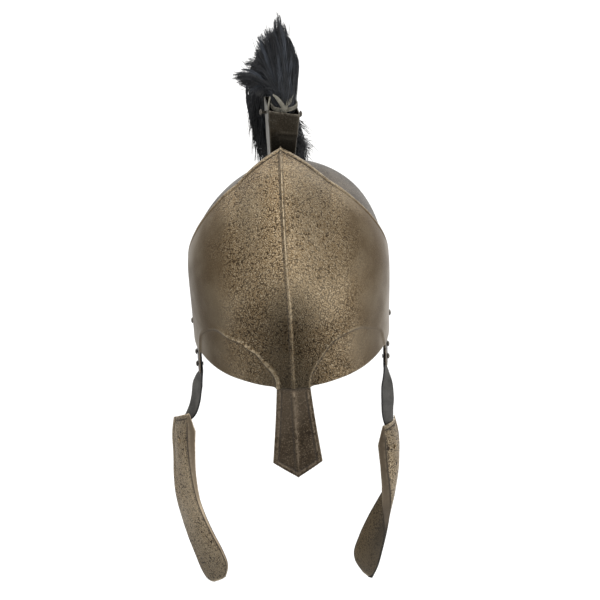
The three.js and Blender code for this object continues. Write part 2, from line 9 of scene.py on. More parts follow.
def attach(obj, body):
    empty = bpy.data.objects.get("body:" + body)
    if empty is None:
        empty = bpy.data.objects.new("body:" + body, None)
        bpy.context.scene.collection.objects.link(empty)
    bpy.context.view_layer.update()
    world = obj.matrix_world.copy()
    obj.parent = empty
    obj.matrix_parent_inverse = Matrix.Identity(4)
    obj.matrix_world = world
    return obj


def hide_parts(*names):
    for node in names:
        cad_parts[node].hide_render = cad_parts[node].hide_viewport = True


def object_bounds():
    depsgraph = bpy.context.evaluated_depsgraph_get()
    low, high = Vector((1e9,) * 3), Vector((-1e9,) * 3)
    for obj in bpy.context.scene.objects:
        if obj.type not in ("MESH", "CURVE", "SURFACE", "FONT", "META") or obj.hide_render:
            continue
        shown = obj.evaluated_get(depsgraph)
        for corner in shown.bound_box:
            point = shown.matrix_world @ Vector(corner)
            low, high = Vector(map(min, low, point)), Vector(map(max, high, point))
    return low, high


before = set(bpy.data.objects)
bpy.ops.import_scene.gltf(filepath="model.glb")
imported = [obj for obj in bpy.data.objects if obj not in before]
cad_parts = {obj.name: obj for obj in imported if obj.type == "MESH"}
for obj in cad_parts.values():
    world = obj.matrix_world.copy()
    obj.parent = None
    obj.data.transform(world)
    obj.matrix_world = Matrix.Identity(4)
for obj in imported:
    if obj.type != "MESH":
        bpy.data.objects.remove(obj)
cad_low, cad_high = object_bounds()

# Sizes are in millimetres, with heights from the lower edge of the brow plate; the frame's origin is the
# inside of the crown.
MM = 0.001
HEAD_SEAT = 179.8
SHEET = 1.2
SHOULDER = 72.0
BOWL = {"half_width": 100.0, "half_length": 114.5, "crown": 181.0, "nape_flare": 15.0, "skirt": -72.0}
BROW = {"half_width": 103.5, "flare": 1.5, "half_length": 118.6, "rise": 115.0, "rear_angle": 94.0,
        "keel_foot": 0.8, "keel_top": 20.5, "keel_spread": 48.0}
AWAY = {"left": -1, "right": 1}
spread = np.random.default_rng(23)


# ---- Small tools ----
def smooth(x, low, high):
    t = held_in((np.asarray(x, float) - low) / (high - low))
    return t * t * (3 - 2 * t)


def held_in(x):
    """The value, kept between 0 and 1."""
    return np.clip(x, 0, 1)


def mix(a, b, t):
    return a + (b - a) * t


def bump(distance, width):
    """A rounded ridge's height, 1 on its line."""
    return np.exp(-(np.asarray(distance, float) / width) ** 2)


def unit(v):
    return v / np.maximum(np.linalg.norm(v, axis=-1, keepdims=True), 1e-12)


def grid(rows, columns):
    return np.meshgrid(rows, columns, indexing="ij")


def both_ways(half):
    """Stations from -1 to 1 out of those from 0 to 1."""
    return np.r_[-half[:0:-1], half]


def read(rows, k, at):
    """Column k of the rows, read along them from 0 to 1."""
    return np.interp(at, np.linspace(0, 1, len(rows)), rows[:, k])


def spline(rows):
    """A smooth curve through the rows; it takes values from 0 to 1."""
    p = np.asarray(rows, float)
    last = len(p) - 1
    ends = np.vstack([2 * p[0] - p[1], p, 2 * p[-1] - p[-2]])

    def at(t):
        u = held_in(np.asarray(t, float)) * last
        i = np.minimum(u.astype(int), last - 1)
        w = (u - i)[..., None]
        q = [ends[i + k] for k in range(4)]
        d = [np.sqrt(np.maximum(np.linalg.norm(q[k + 1] - q[k], axis=-1), 1e-9))[..., None] for k in range(3)]
        leave = ((q[1] - q[0]) / d[0] - (q[2] - q[0]) / (d[0] + d[1]) + (q[2] - q[1]) / d[1]) * d[1]
        arrive = ((q[2] - q[1]) / d[1] - (q[3] - q[1]) / (d[1] + d[2]) + (q[3] - q[2]) / d[2]) * d[1]
        bend = -3 * q[1] + 3 * q[2] - 2 * leave - arrive
        return q[1] + leave * w + bend * w ** 2 + (2 * q[1] - 2 * q[2] + leave + arrive) * w ** 3
    return at


def even_spline(rows):
    """The same curve, taken by its length."""
    at = spline(rows)
    t = np.linspace(0, 1, 801)
    run = np.r_[0, np.cumsum(np.linalg.norm(np.diff(at(t), axis=0), axis=1))]
    return lambda share: at(np.interp(share, run / run[-1], t))


def normals(points, way=0):
    """Unit normals of a grid of points; way turns them towards the right (1) or the left (-1)."""
    out = unit(np.cross(np.gradient(points, axis=0), np.gradient(points, axis=1)))
    return -out if np.mean(out[..., 0]) * way < 0 else out


def unevenness(points, size, depth):
    """Slow rise and fall of hand-worked sheet, in mm."""
    values = [noise.noise(Vector(p)) for p in points.reshape(-1, 3) / size]
    return depth * np.array(values).reshape(points.shape[:-1])


def placed(name, data):
    """A new object in the scene."""
    made = bpy.data.objects.new(name, data)
    bpy.context.scene.collection.objects.link(made)
    return made


# ---- Meshes: a body is its points in mm, its faces and its marks, which the finishes read ----
def piece(name, body, finish, slot, *nodes):
    """A mesh that rides on the frame and stands for the given nodes."""
    points, faces, marks = body
    mesh = bpy.data.meshes.new(name)
    mesh.from_pydata(((np.asarray(points, float) - (0, 0, HEAD_SEAT)) * MM).tolist(), [], faces)
    mesh.polygons.foreach_set("use_smooth", [True] * len(mesh.polygons))
    for mark, values in marks.items():
        layer = mesh.attributes.new(mark, "FLOAT", "POINT")
        layer.data.foreach_set("value", np.asarray(values, np.float32))
    mesh.update()
    mesh.materials.append(finish)
    made = placed(name, mesh)
    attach(made, "root")
    if nodes:
        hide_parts(*nodes)


def strip(*corners):
    """Faces whose corners run along the given rows of point numbers."""
    return np.stack(np.broadcast_arrays(*corners), -1).tolist()


def grid_faces(rows, columns, start=0, flip=False, ring=False):
    """Quads over a grid of points; a ring also joins its last row to its first."""
    i, j = grid(np.arange(rows - (not ring)), np.arange(columns - 1))
    a, b = start + i * columns + j, start + (i + 1) % rows * columns + j
    quads = np.stack([a, b, b + 1, a + 1], -1).reshape(-1, 4)
    return (quads[:, ::-1] if flip else quads).tolist()


def sleeve_faces(rows, columns):
    """Faces of a wall that closes round and of the wall inside it, then the point numbers along the first and
    the last column, each with those of the next row."""
    here = np.arange(rows) * columns
    faces = grid_faces(rows, columns, ring=True) + grid_faces(rows, columns, rows * columns, flip=True, ring=True)
    return faces, *[(here + k, np.roll(here, -1) + k) for k in (0, columns - 1)]


def hoops(count, around, start=0):
    """Faces that join hoops of points, each to the next, with the last point number of a hoop next to its first."""
    here = np.arange(around)
    ahead = (here + 1) % around
    return [face for a in start + around * np.arange(count - 1)
            for face in strip(a + here, a + around + here, a + around + ahead, a + ahead)]


def face_out(points, faces):
    """The same faces, turned outwards if the closed body's volume comes out negative."""
    fans = np.array([(f[0], f[k], f[k + 1]) for f in faces for k in range(1, len(f) - 1)])
    a, b, c = np.moveaxis(np.asarray(points, float)[fans], 1, 0)
    return [f[::-1] for f in faces] if np.sum(a * np.cross(b, c)) < 0 else faces


def shell(outer, inner, marks, bulge=0.35):
    """A closed sheet between two matching grids, its edge rounded by a middle rim."""
    rows, columns = outer.shape[:2]
    count = rows * columns
    index = np.arange(count).reshape(rows, columns)
    loop = np.r_[index[:-1, 0], index[-1, :-1], index[:0:-1, -1], index[0, :0:-1]]
    inside = np.r_[index[:-1, 1], index[-2, :-1], index[:0:-1, -2], index[1, :0:-1]]
    flat_out, flat_in = outer.reshape(-1, 3), inner.reshape(-1, 3)
    middle = (flat_out[loop] + flat_in[loop]) / 2
    thick = np.linalg.norm(flat_out[loop] - flat_in[loop], axis=1, keepdims=True)
    rim = middle + unit(flat_out[loop] - flat_out[inside]) * thick * bulge
    points = np.vstack([flat_out, flat_in, rim])
    n = len(loop)
    ahead = np.roll(np.arange(n), -1)
    edge = 2 * count + np.arange(n)
    faces = (grid_faces(rows, columns, 0, flip=True) + grid_faces(rows, columns, count)
             + strip(loop, loop[ahead], edge[ahead], edge)
             + strip(edge, edge[ahead], loop[ahead] + count, loop + count))
    spread_marks = {"inside": np.r_[np.zeros(count), np.ones(count), np.full(n, 0.3)]}
    for mark, values in marks.items():
        flat = np.asarray(values, float).reshape(-1)
        spread_marks[mark] = np.r_[flat, flat, flat[loop]]
    return points, face_out(points, faces), spread_marks


def join(*bodies):
    """Several bodies as one."""
    points, faces, marks = [], [], {}
    start = 0
    for body_points, body_faces, body_marks in bodies:
        points.append(body_points)
        faces += [[k + start for k in face] for face in body_faces]
        start += len(body_points)
        for mark, values in body_marks.items():
            marks.setdefault(mark, []).append(values)
    return np.vstack(points), faces, {mark: np.concatenate(v) for mark, v in marks.items()}


def revolve(profile, origin, axis, around=32):
    """A body turned from (radius, height) pairs, first and last on the axis, standing on origin along axis."""
    axis = unit(np.asarray(axis, float))
    side = unit(np.cross(axis, (0.31, 0.52, 0.8)))
    turn = np.linspace(0, 2 * math.pi, around, endpoint=False)
    hoop = np.outer(np.cos(turn), side) + np.outer(np.sin(turn), np.cross(axis, side))
    radii, heights = np.array(profile, float).T
    middle = np.asarray(origin, float) + np.outer(heights, axis)
    turned = (middle[1:-1, None] + radii[1:-1, None, None] * hoop).reshape(-1, 3)
    points = np.vstack([middle[:1], turned, middle[-1:]])
    here = 1 + np.arange(around)
    ahead = 1 + here % around
    last = len(turned) - around
    faces = (strip(0, here, ahead) + hoops(len(profile) - 2, around, 1)
             + strip(last + here, len(points) - 1, last + ahead))
    return points, face_out(points, faces), {}


def tube(path, radii, sides=8, squash=1.0, flat_way=(0.2, 0.9, 0.35)):
    """A closed tube along the path's points, its radius given at each of them."""
    ahead = unit(np.gradient(path, axis=0))
    side = unit(np.cross(ahead, np.asarray(flat_way, float)))
    turn = np.linspace(0, 2 * math.pi, sides, endpoint=False)
    squash = np.broadcast_to(np.asarray(squash, float), len(path))[:, None, None]
    hoop = (np.cos(turn)[:, None] * side[:, None] + squash * np.sin(turn)[:, None] * np.cross(ahead, side)[:, None])
    points = (path[:, None] + radii[:, None, None] * hoop).reshape(-1, 3)
    last = len(points) - sides
    faces = hoops(len(path), sides) + [list(range(sides)), list(range(last, len(points)))[::-1]]
    return points, face_out(points, faces), {}


# ---- Finishes: node building ----
class Wire:
    """A node's output, which can be added, taken away and multiplied like a number."""
    def __init__(self, socket):
        self.socket = socket

    def __add__(self, other):
        return maths("ADD", self, other)

    def __sub__(self, other):
        return maths("SUBTRACT", self, other)

    def __rsub__(self, other):
        return maths("SUBTRACT", other, self)

    def __mul__(self, other):
        return maths("MULTIPLY", self, other)


def feed(socket, value):
    """Run another node's output to a socket, or set its value."""
    if isinstance(value, Wire):
        socket.id_data.links.new(value.socket, socket)
    else:
        socket.default_value = value


def make(tree, kind, take, values=None, **settings):
    """Add a node with its settings and inputs, and return the output to take from it."""
    node = tree.nodes.new(kind)
    for key, value in settings.items():
        setattr(node, key, value)
    for key, value in (values or {}).items():
        feed(node.inputs[key], value)
    return Wire(node.outputs[take])


def maths(operation, a, b=0.0, clamp=False):
    tree = (a if isinstance(a, Wire) else b).socket.id_data
    return make(tree, "ShaderNodeMath", 0, {0: a, 1: b}, operation=operation, use_clamp=clamp)


def band(value, low, high, to_low=0.0, to_high=1.0):
    values = {"Value": value, "From Min": low, "From Max": high, "To Min": to_low, "To Max": to_high}
    return make(value.socket.id_data, "ShaderNodeMapRange", "Result", values, interpolation_type="SMOOTHSTEP")


def blend(share, a, b):
    """A colour between two."""
    a, b = [value if isinstance(value, Wire) else (*value, 1.0) for value in (a, b)]
    return make(share.socket.id_data, "ShaderNodeMix", 2, {0: share, 6: a, 7: b}, data_type="RGBA")


def between(share, a, b):
    """A value between two."""
    return make(share.socket.id_data, "ShaderNodeMix", 0, {0: share, 2: a, 3: b}, data_type="FLOAT")


def place_on(tree):
    return make(tree, "ShaderNodeTexCoord", "Object")


def cloud(place, scale, detail, take="Fac"):
    values = {"Vector": place, "Scale": scale, "Detail": detail}
    return make(place.socket.id_data, "ShaderNodeTexNoise", take, values)


def mark(tree, name):
    return make(tree, "ShaderNodeAttribute", "Fac", attribute_name=name, attribute_type="GEOMETRY")


def group(name, inputs, build):
    """A group with named value inputs; build gives its named outputs."""
    tree = bpy.data.node_groups.new(name, "ShaderNodeTree")
    for key, value in inputs.items():
        socket = tree.interface.new_socket(key, in_out="INPUT", socket_type="NodeSocketFloat")
        socket.default_value = value
    given = tree.nodes.new("NodeGroupInput").outputs
    results = build(place_on(tree), *[Wire(given[key]) for key in inputs])
    for key in results:
        tree.interface.new_socket(key, in_out="OUTPUT", socket_type="NodeSocketFloat")
    out = tree.nodes.new("NodeGroupOutput")
    for key, value in results.items():
        feed(out.inputs[key], value)
    return tree


def use(tree, made, **values):
    node = tree.nodes.new("ShaderNodeGroup")
    node.node_tree = made
    for key, value in values.items():
        feed(node.inputs[key], value)
    return {socket.name: Wire(socket) for socket in node.outputs}


def hammer_worms(place, scale, strength):
    """Hammer paint: short branching worms of pale metal between dark winding lines."""
    shift = make(place.socket.id_data, "ShaderNodeVectorMath", 0,
                 {0: cloud(place, 300.0, 0.0, "Color"), 1: (0.0016, 0.0016, 0.0016)}, operation="MULTIPLY")
    moved = make(place.socket.id_data, "ShaderNodeVectorMath", 0, {0: place, 1: shift}, operation="ADD")
    off_line = maths("ABSOLUTE", cloud(moved, scale, 0.0) - 0.5)
    worm = band(off_line, 0.042, 0.088)
    fleck = band(cloud(moved, 900.0, 0.0), 0.52, 0.72) * worm
    return {"Tone": worm * strength, "Fleck": fleck * strength, "Height": band(off_line, 0.012, 0.13) * strength}


def handled(place, size, edge):
    """Slow changes from handling: rubbed patches, dull film in between and ragged wear on edges."""
    near = cloud(place, 260.0, 3.0)
    wear = maths("MINIMUM", edge * band(near, 0.38, 0.55), 1.0)
    return {"Rub": band(cloud(place, size, 3.0), 0.38, 0.66), "Film": band(near, 0.35, 0.7), "Edge Wear": wear}


PAINT_SCALE = 410.0
HAMMER = group("hammer_paint", {"Scale": PAINT_SCALE, "Strength": 1.0}, hammer_worms)
HANDLING = group("handling", {"Size": 22.0, "Edge": 0.0}, handled)


def shader(name, **uniform):
    finish = bpy.data.materials.new(name)
    finish.use_nodes = True
    body = finish.node_tree.nodes["Principled BSDF"]
    for key, value in uniform.items():
        body.inputs[key.replace("_", " ")].default_value = value
    return finish, finish.node_tree


def finished(finish, height, strength, distance, **wires):
    """Run the finish's colour and values to its shader, and raise its surface by height."""
    body = finish.node_tree.nodes["Principled BSDF"]
    for key, value in wires.items():
        feed(body.inputs[key.replace("_", " ")], value)
    feed(body.inputs["Normal"], make(finish.node_tree, "ShaderNodeBump", "Normal",
                                     {"Strength": strength, "Distance": distance, "Height": height}))
    return finish


def shaded(colour, *shares):
    """The colour with each part scaled, by one share or one for each part."""
    return [c * k for c, k in zip(colour, shares * 3)]


def bronze(name, low, mid, high, depth=0.00016, rough=0.34, strength=1.0, calm=False):
    """Antique bronze hammer paint; fold marks smooth bare strips, groove dark lines of grime and painted shade, rim
    worn edges and painted highlights; other marks paint shade and a pale reflection, and inner faces are painted
    darker, as shade.
    """
    finish, tree = shader(name, Specular_IOR_Level=0.5)
    fold, groove, rim, inside, painted_shade, painted_reflection = [
        mark(tree, name) for name in ("fold", "groove", "rim", "inside", "painted_shade", "rubbed")]
    paint = use(tree, HAMMER, Scale=PAINT_SCALE, Strength=strength)
    worn = use(tree, HANDLING, Size=20.0, Edge=rim)
    bare = maths("SUBTRACT", 1.0, fold, True)
    if calm:  # the paint is smoother towards the sides
        bare = bare * band(mark(tree, "calm"), 0.0, 1.0, 1.0, 0.14)
    bare = bare * band(inside, 0.0, 1.0, 1.0, 0.35)
    ground = blend(between(bare, 0.52, paint["Tone"]), low, mid)
    flecked = blend(paint["Fleck"] * (bare * 0.75), ground, high)
    folded = blend(fold, flecked, shaded(mid, 0.80, 0.81, 0.90))
    rubbed = blend(worn["Rub"] * 0.22, folded, high)
    # worn edges, and the painted highlights on ridges that the rim mark also carries
    edged = blend(worn["Edge Wear"] * 0.72, rubbed, high)
    # painted shade: the colour dimmed to a third where its painted-shade mark is set
    dimmed = make(tree, "ShaderNodeVectorMath", 0, {0: edged, "Scale": 0.3}, operation="SCALE")
    with_painted_shade = blend(painted_shade, edged, dimmed)
    # painted reflection: pale grey and less metallic where the reflection mark is set
    pale = blend(painted_reflection * 0.9, with_painted_shade, (0.24, 0.23, 0.205))
    # inner faces: painted shade, darker copies of the bronze, near black on the folded strip, with their rims left
    # pale as a painted highlight
    inside_painted_shade = blend(paint["Tone"], shaded(mid, 0.10), shaded(mid, 0.37))
    back = blend(worn["Rub"] * 0.3, blend(fold, inside_painted_shade, shaded(mid, 0.06)), shaded(mid, 0.5))
    lip = maths("SUBTRACT", 1.0, rim * 0.75, True)
    with_inside_painted_shade = blend(inside * (lip * 0.9), pale, back)
    metal = maths("SUBTRACT", between(paint["Tone"], 0.9, 1.0), groove * 0.6, True)
    dull = between(worn["Rub"], rough + 0.06, rough - 0.03)
    return finished(finish, paint["Height"] * bare, 1.0, depth,
                    Base_Color=blend(maths("MINIMUM", groove, 0.94), with_inside_painted_shade, (0.010, 0.0075, 0.0055)),
                    Metallic=maths("SUBTRACT", metal, painted_reflection * 0.9, True),
                    Roughness=maths("ADD", dull, groove * 0.35, True))


def leather():
    """Dark oiled strap leather with inked edges and a fine grain."""
    finish, tree = shader("strap_leather", Specular_IOR_Level=0.45)
    pores = make(tree, "ShaderNodeTexVoronoi", "Distance", {"Vector": place_on(tree), "Scale": 1100.0},
                 feature="SMOOTH_F1")
    worn = use(tree, HANDLING, Size=60.0)
    grain = band(pores, 0.1, 0.6)
    face = blend(worn["Rub"], (0.034, 0.032, 0.028), (0.078, 0.074, 0.066))
    speckled = blend(worn["Film"] * 0.4, face, (0.12, 0.117, 0.108))
    pored = blend(grain * 0.35, speckled, (0.03, 0.029, 0.027))
    return finished(finish, worn["Rub"] * 0.6 - grain * 0.5, 0.8, 0.0002,
                    Base_Color=blend(mark(tree, "rim"), pored, (0.006, 0.006, 0.007)),
                    Roughness=between(worn["Film"], 0.48, 0.66))


def horsehair():
    """Black hair: each strand carries its own tone, the lighter ones a painted sheen, and is a little browner at its
    tip.
    """
    finish, tree = shader("horsehair", Specular_IOR_Level=0.6, Sheen_Weight=0.08, Sheen_Roughness=0.4)
    shade, place = mark(tree, "shade"), place_on(tree)
    # painted sheen: lighter, bluish strands
    lit = band(shade + (cloud(place, 90.0, 2.0) - 0.5), 0.35, 1.15)
    base = blend(lit, (0.0055, 0.0070, 0.0100), (0.046, 0.056, 0.074))
    return finished(finish, cloud(place, 1500.0, 1.0), 0.25, 0.0001,
                    Base_Color=blend(band(mark(tree, "along"), 0.75, 1.0) * 0.35, base, (0.020, 0.017, 0.014)),
                    Roughness=between(shade, 0.36, 0.52))


def dark_steel():
    """Darkened rivet steel, rubbed brighter on its domes."""
    finish, tree = shader("rivet_steel", Specular_IOR_Level=0.5)
    worn = use(tree, HANDLING, Size=240.0)
    base = blend(worn["Rub"], (0.085, 0.074, 0.062), (0.27, 0.25, 0.215))
    return finished(finish, worn["Film"], 0.5, 0.0002,
                    Base_Color=blend(worn["Film"] * 0.4, base, (0.02, 0.017, 0.014)),
                    Metallic=between(worn["Rub"], 0.7, 0.95), Roughness=between(worn["Film"], 0.28, 0.5))


def natural_cord():
    """Pale natural cord and hide, fibrous and a little soiled."""
    finish, tree = shader("natural_cord", Specular_IOR_Level=0.3)
    fibre = make(tree, "ShaderNodeTexWave", "Fac",
                 {"Vector": place_on(tree), "Scale": 420.0, "Distortion": 5.0, "Detail": 2.0})
    worn = use(tree, HANDLING, Size=130.0)
    base = blend(fibre, (0.13, 0.12, 0.095), (0.33, 0.315, 0.265))
    return finished(finish, fibre, 0.7, 0.0003, Base_Color=blend(worn["Rub"] * 0.6, base, (0.075, 0.068, 0.05)),
                    Roughness=between(worn["Film"], 0.65, 0.85))


brow_bronze = bronze("brow_bronze", (0.068, 0.045, 0.024), (0.295, 0.210, 0.118), (0.64, 0.53, 0.37), rough=0.31,
                     calm=True)
bowl_bronze = bronze("bowl_bronze", (0.05, 0.038, 0.026), (0.080, 0.064, 0.047), (0.30, 0.25, 0.19),
                     depth=0.00010, calm=True)
# a darker copy of the bronze: painted shade on the front-facing nasal
nasal_bronze_painted_shade = bronze("nasal_bronze_painted_shade", (0.030, 0.021, 0.013), (0.068, 0.048, 0.030), (0.30, 0.24, 0.175),
                      depth=0.00008, strength=0.55)
cheek_bronze = bronze("cheek_bronze", (0.060, 0.041, 0.024), (0.53, 0.41, 0.26), (0.84, 0.70, 0.50), depth=0.00020)
# a darker copy of the bronze: the socket painted as in shade
socket_bronze_painted_shade = bronze("socket_bronze_painted_shade", (0.045, 0.038, 0.028), (0.072, 0.061, 0.046), (0.20, 0.18, 0.145),
                       depth=0.00004, strength=0.6)
strap_leather = leather()
horsehair_black = horsehair()
rivet_steel = dark_steel()
cord_pale = natural_cord()


# ---- Bowl ----
OUTLINE = [(-150, 4), (-46, 4), (-41, 3.6), (-36, 1.6), (-31.5, -3.2), (-28.6, -10), (-27, -18), (-26, -26),
           (-25, -34), (-23, -38.6), (-20, -40.6), (-16, -41), (4, -41), (22, -42.8), (44, -47.6), (66, -53),
           (90, -57.6), (115, -60.6), (150, -62)]


def bowl_grid(stand, columns, levels):
    """Points of the bowl's face, a column per angle from the lower edge up to the crown."""
    width, length = BOWL["half_width"] + stand, BOWL["half_length"] + stand * 1.145
    rise = BOWL["crown"] + stand - SHOULDER
    angle, level = grid(columns, levels)
    x, y = width * np.sin(angle), -length * np.cos(angle)
    foot = np.interp(y, *zip(*OUTLINE))
    wall, dome = SHOULDER - foot, rise * 1.45
    run = level * (wall + dome)
    turn = held_in((run - wall) / dome) * math.pi / 2
    z = np.where(run < wall, foot + run, SHOULDER + rise * np.sin(turn))
    x, y = x * np.cos(turn), y * np.cos(turn)
    radius = np.maximum(np.hypot(x, y), 1.0)
    nape = smooth(y / radius, 0.1, 1)
    out = 1 + np.where(z < 0, BOWL["nape_flare"] * nape * (z / BOWL["skirt"]) ** 2, 0) / radius
    return np.stack([x * out, y * out, z], -1)


def bowl():
    edge_angles = [math.acos(-y / BOWL["half_length"]) for y, _ in OUTLINE if -110 < y < 110]
    right = np.unique(np.round(np.r_[np.linspace(0, math.pi, 73), edge_angles], 5))
    columns = np.r_[right, 2 * math.pi - right[-2:0:-1]]
    levels = np.r_[0, 0.004, np.linspace(0.012, 0.995, 84)]
    outer, inner = bowl_grid(0.0, columns, levels), bowl_grid(-SHEET, columns, levels)
    lift = unit(outer - (0, 0, SHOULDER - 60)) * (unevenness(outer, 45, 0.5) - 0.25)[..., None]
    outer, inner = outer + lift, inner + lift
    for face in (outer, inner):  # behind the brow plate the skull swells a little to one side
        face[..., 0] += 4.5 * smooth(face[..., 1], 0, 45) * smooth(face[..., 2], 85, 150)
    rows, count = outer.shape[:2]
    total = rows * count
    lip = (outer[:, 0] + inner[:, 0]) / 2 + unit(outer[:, 0] - outer[:, 1]) * 0.35 * SHEET
    points = np.vstack([outer.reshape(-1, 3), inner.reshape(-1, 3), lip, outer[:, -1].mean(0), inner[:, -1].mean(0)])
    faces, (low, low_ahead), (high, high_ahead) = sleeve_faces(rows, count)
    edge = 2 * total + np.arange(rows)
    edge_ahead = np.roll(edge, -1)
    top = 2 * total + rows
    faces += strip(low, edge, edge_ahead, low_ahead) + strip(edge, low + total, low_ahead + total, edge_ahead)
    faces += strip(high, high_ahead, top) + strip(high + total, top + 1, high_ahead + total)
    worn = np.zeros((rows, count))
    worn[:, :3] = (1, 1, 0.4)
    marks = {"rim": np.r_[worn.ravel(), worn.ravel(), np.ones(rows), 0, 0], "calm": np.full(len(points), 0.35),
             "inside": np.r_[np.zeros(total), np.ones(total), np.full(rows, 0.3), 0, 1]}
    piece("bowl_shell", (points, face_out(points, faces), marks), bowl_bronze, "bronze", "bowl")


# ---- Brow plate ----
BROW_EDGE = [(0, 0, 208), (24, -5, 186), (48, -11, 160), (67, -13, 140), (84, -6, 112), (96, 6, 89), (103, 15, 66)]
brow_edge = even_spline(BROW_EDGE)
BROW_CENTRE = np.array([0, 0, SHOULDER])
# The embossed eyebrows: shares across and up the plate, from the lower edge round to the nose.
EYEBROW = {
    "left": [(0.742, 0.0), (0.70, 0.09), (0.647, 0.16), (0.557, 0.208), (0.467, 0.232), (0.393, 0.232),
             (0.34, 0.21), (0.303, 0.195), (0.25, 0.182), (0.217, 0.16), (0.167, 0.13), (0.14, 0.095),
             (0.107, 0.062), (0.09, 0.032), (0.093, 0.0)],
    "right": [(0.742, 0.0), (0.70, 0.07), (0.645, 0.138), (0.575, 0.178), (0.503, 0.2), (0.43, 0.214),
              (0.36, 0.222), (0.29, 0.214), (0.23, 0.195), (0.183, 0.17), (0.15, 0.125), (0.118, 0.085),
              (0.098, 0.05), (0.09, 0.025), (0.093, 0.0)],
}
EYEBROW_FORCE = {"left": 1.0, "right": 0.55}


def brow_form(direction, stand):
    """The plate's face in a direction from its centre, with the raised keel."""
    d = unit(direction)
    x, y, z = np.moveaxis(d, -1, 0)
    rise = np.where(z > 0, z / BROW["rise"], 0)
    reach = 1 / np.sqrt((x / BROW["half_width"]) ** 2 + (y / BROW["half_length"]) ** 2 + rise ** 2)
    lift = smooth(np.arctan2(z, -y), -0.4, math.pi / 2 + 0.1)
    beside = np.maximum(0, 1 - np.abs(x) * reach / BROW["keel_spread"]) ** 1.3
    keel = mix(BROW["keel_foot"], BROW["keel_top"], lift) * beside
    point = d * (reach + keel + stand)[..., None] + BROW_CENTRE
    point[..., 0] *= 1 - (BROW["flare"] / BROW["half_width"]) * smooth(SHOULDER - point[..., 2], 0, SHOULDER)
    return point


def brow_point(across, along, stand=0.0):
    """A point of the plate; across runs from -1 to 1 and along from the lower edge to the upper one."""
    across, along, stand = np.broadcast_arrays(*[np.asarray(v, float) for v in (across, along, stand)])
    side = np.abs(across)
    upper = unit(brow_edge(side) - BROW_CENTRE)
    angle = side * math.radians(BROW["rear_angle"])
    lower = unit(np.stack([BROW["half_width"] * np.sin(angle), -BROW["half_length"] * np.cos(angle),
                           np.full_like(angle, -SHOULDER)], -1))
    span = np.arccos(np.clip((lower * upper).sum(-1), -1, 1))
    direction = lower * np.sin((1 - along) * span)[..., None] + upper * np.sin(along * span)[..., None]
    direction[..., 0] *= np.where(across < 0, -1, 1)
    return brow_form(direction, stand)


def distance_to(points, path):
    """Distance of each point of a grid from a polyline."""
    best = np.full(points.shape[:-1], 1e9)
    for a, b in zip(path[:-1], path[1:]):
        run = b - a
        t = held_in(((points - a) @ run) / (run @ run))
        best = np.minimum(best, np.linalg.norm(points - a - t[..., None] * run, axis=-1))
    return best


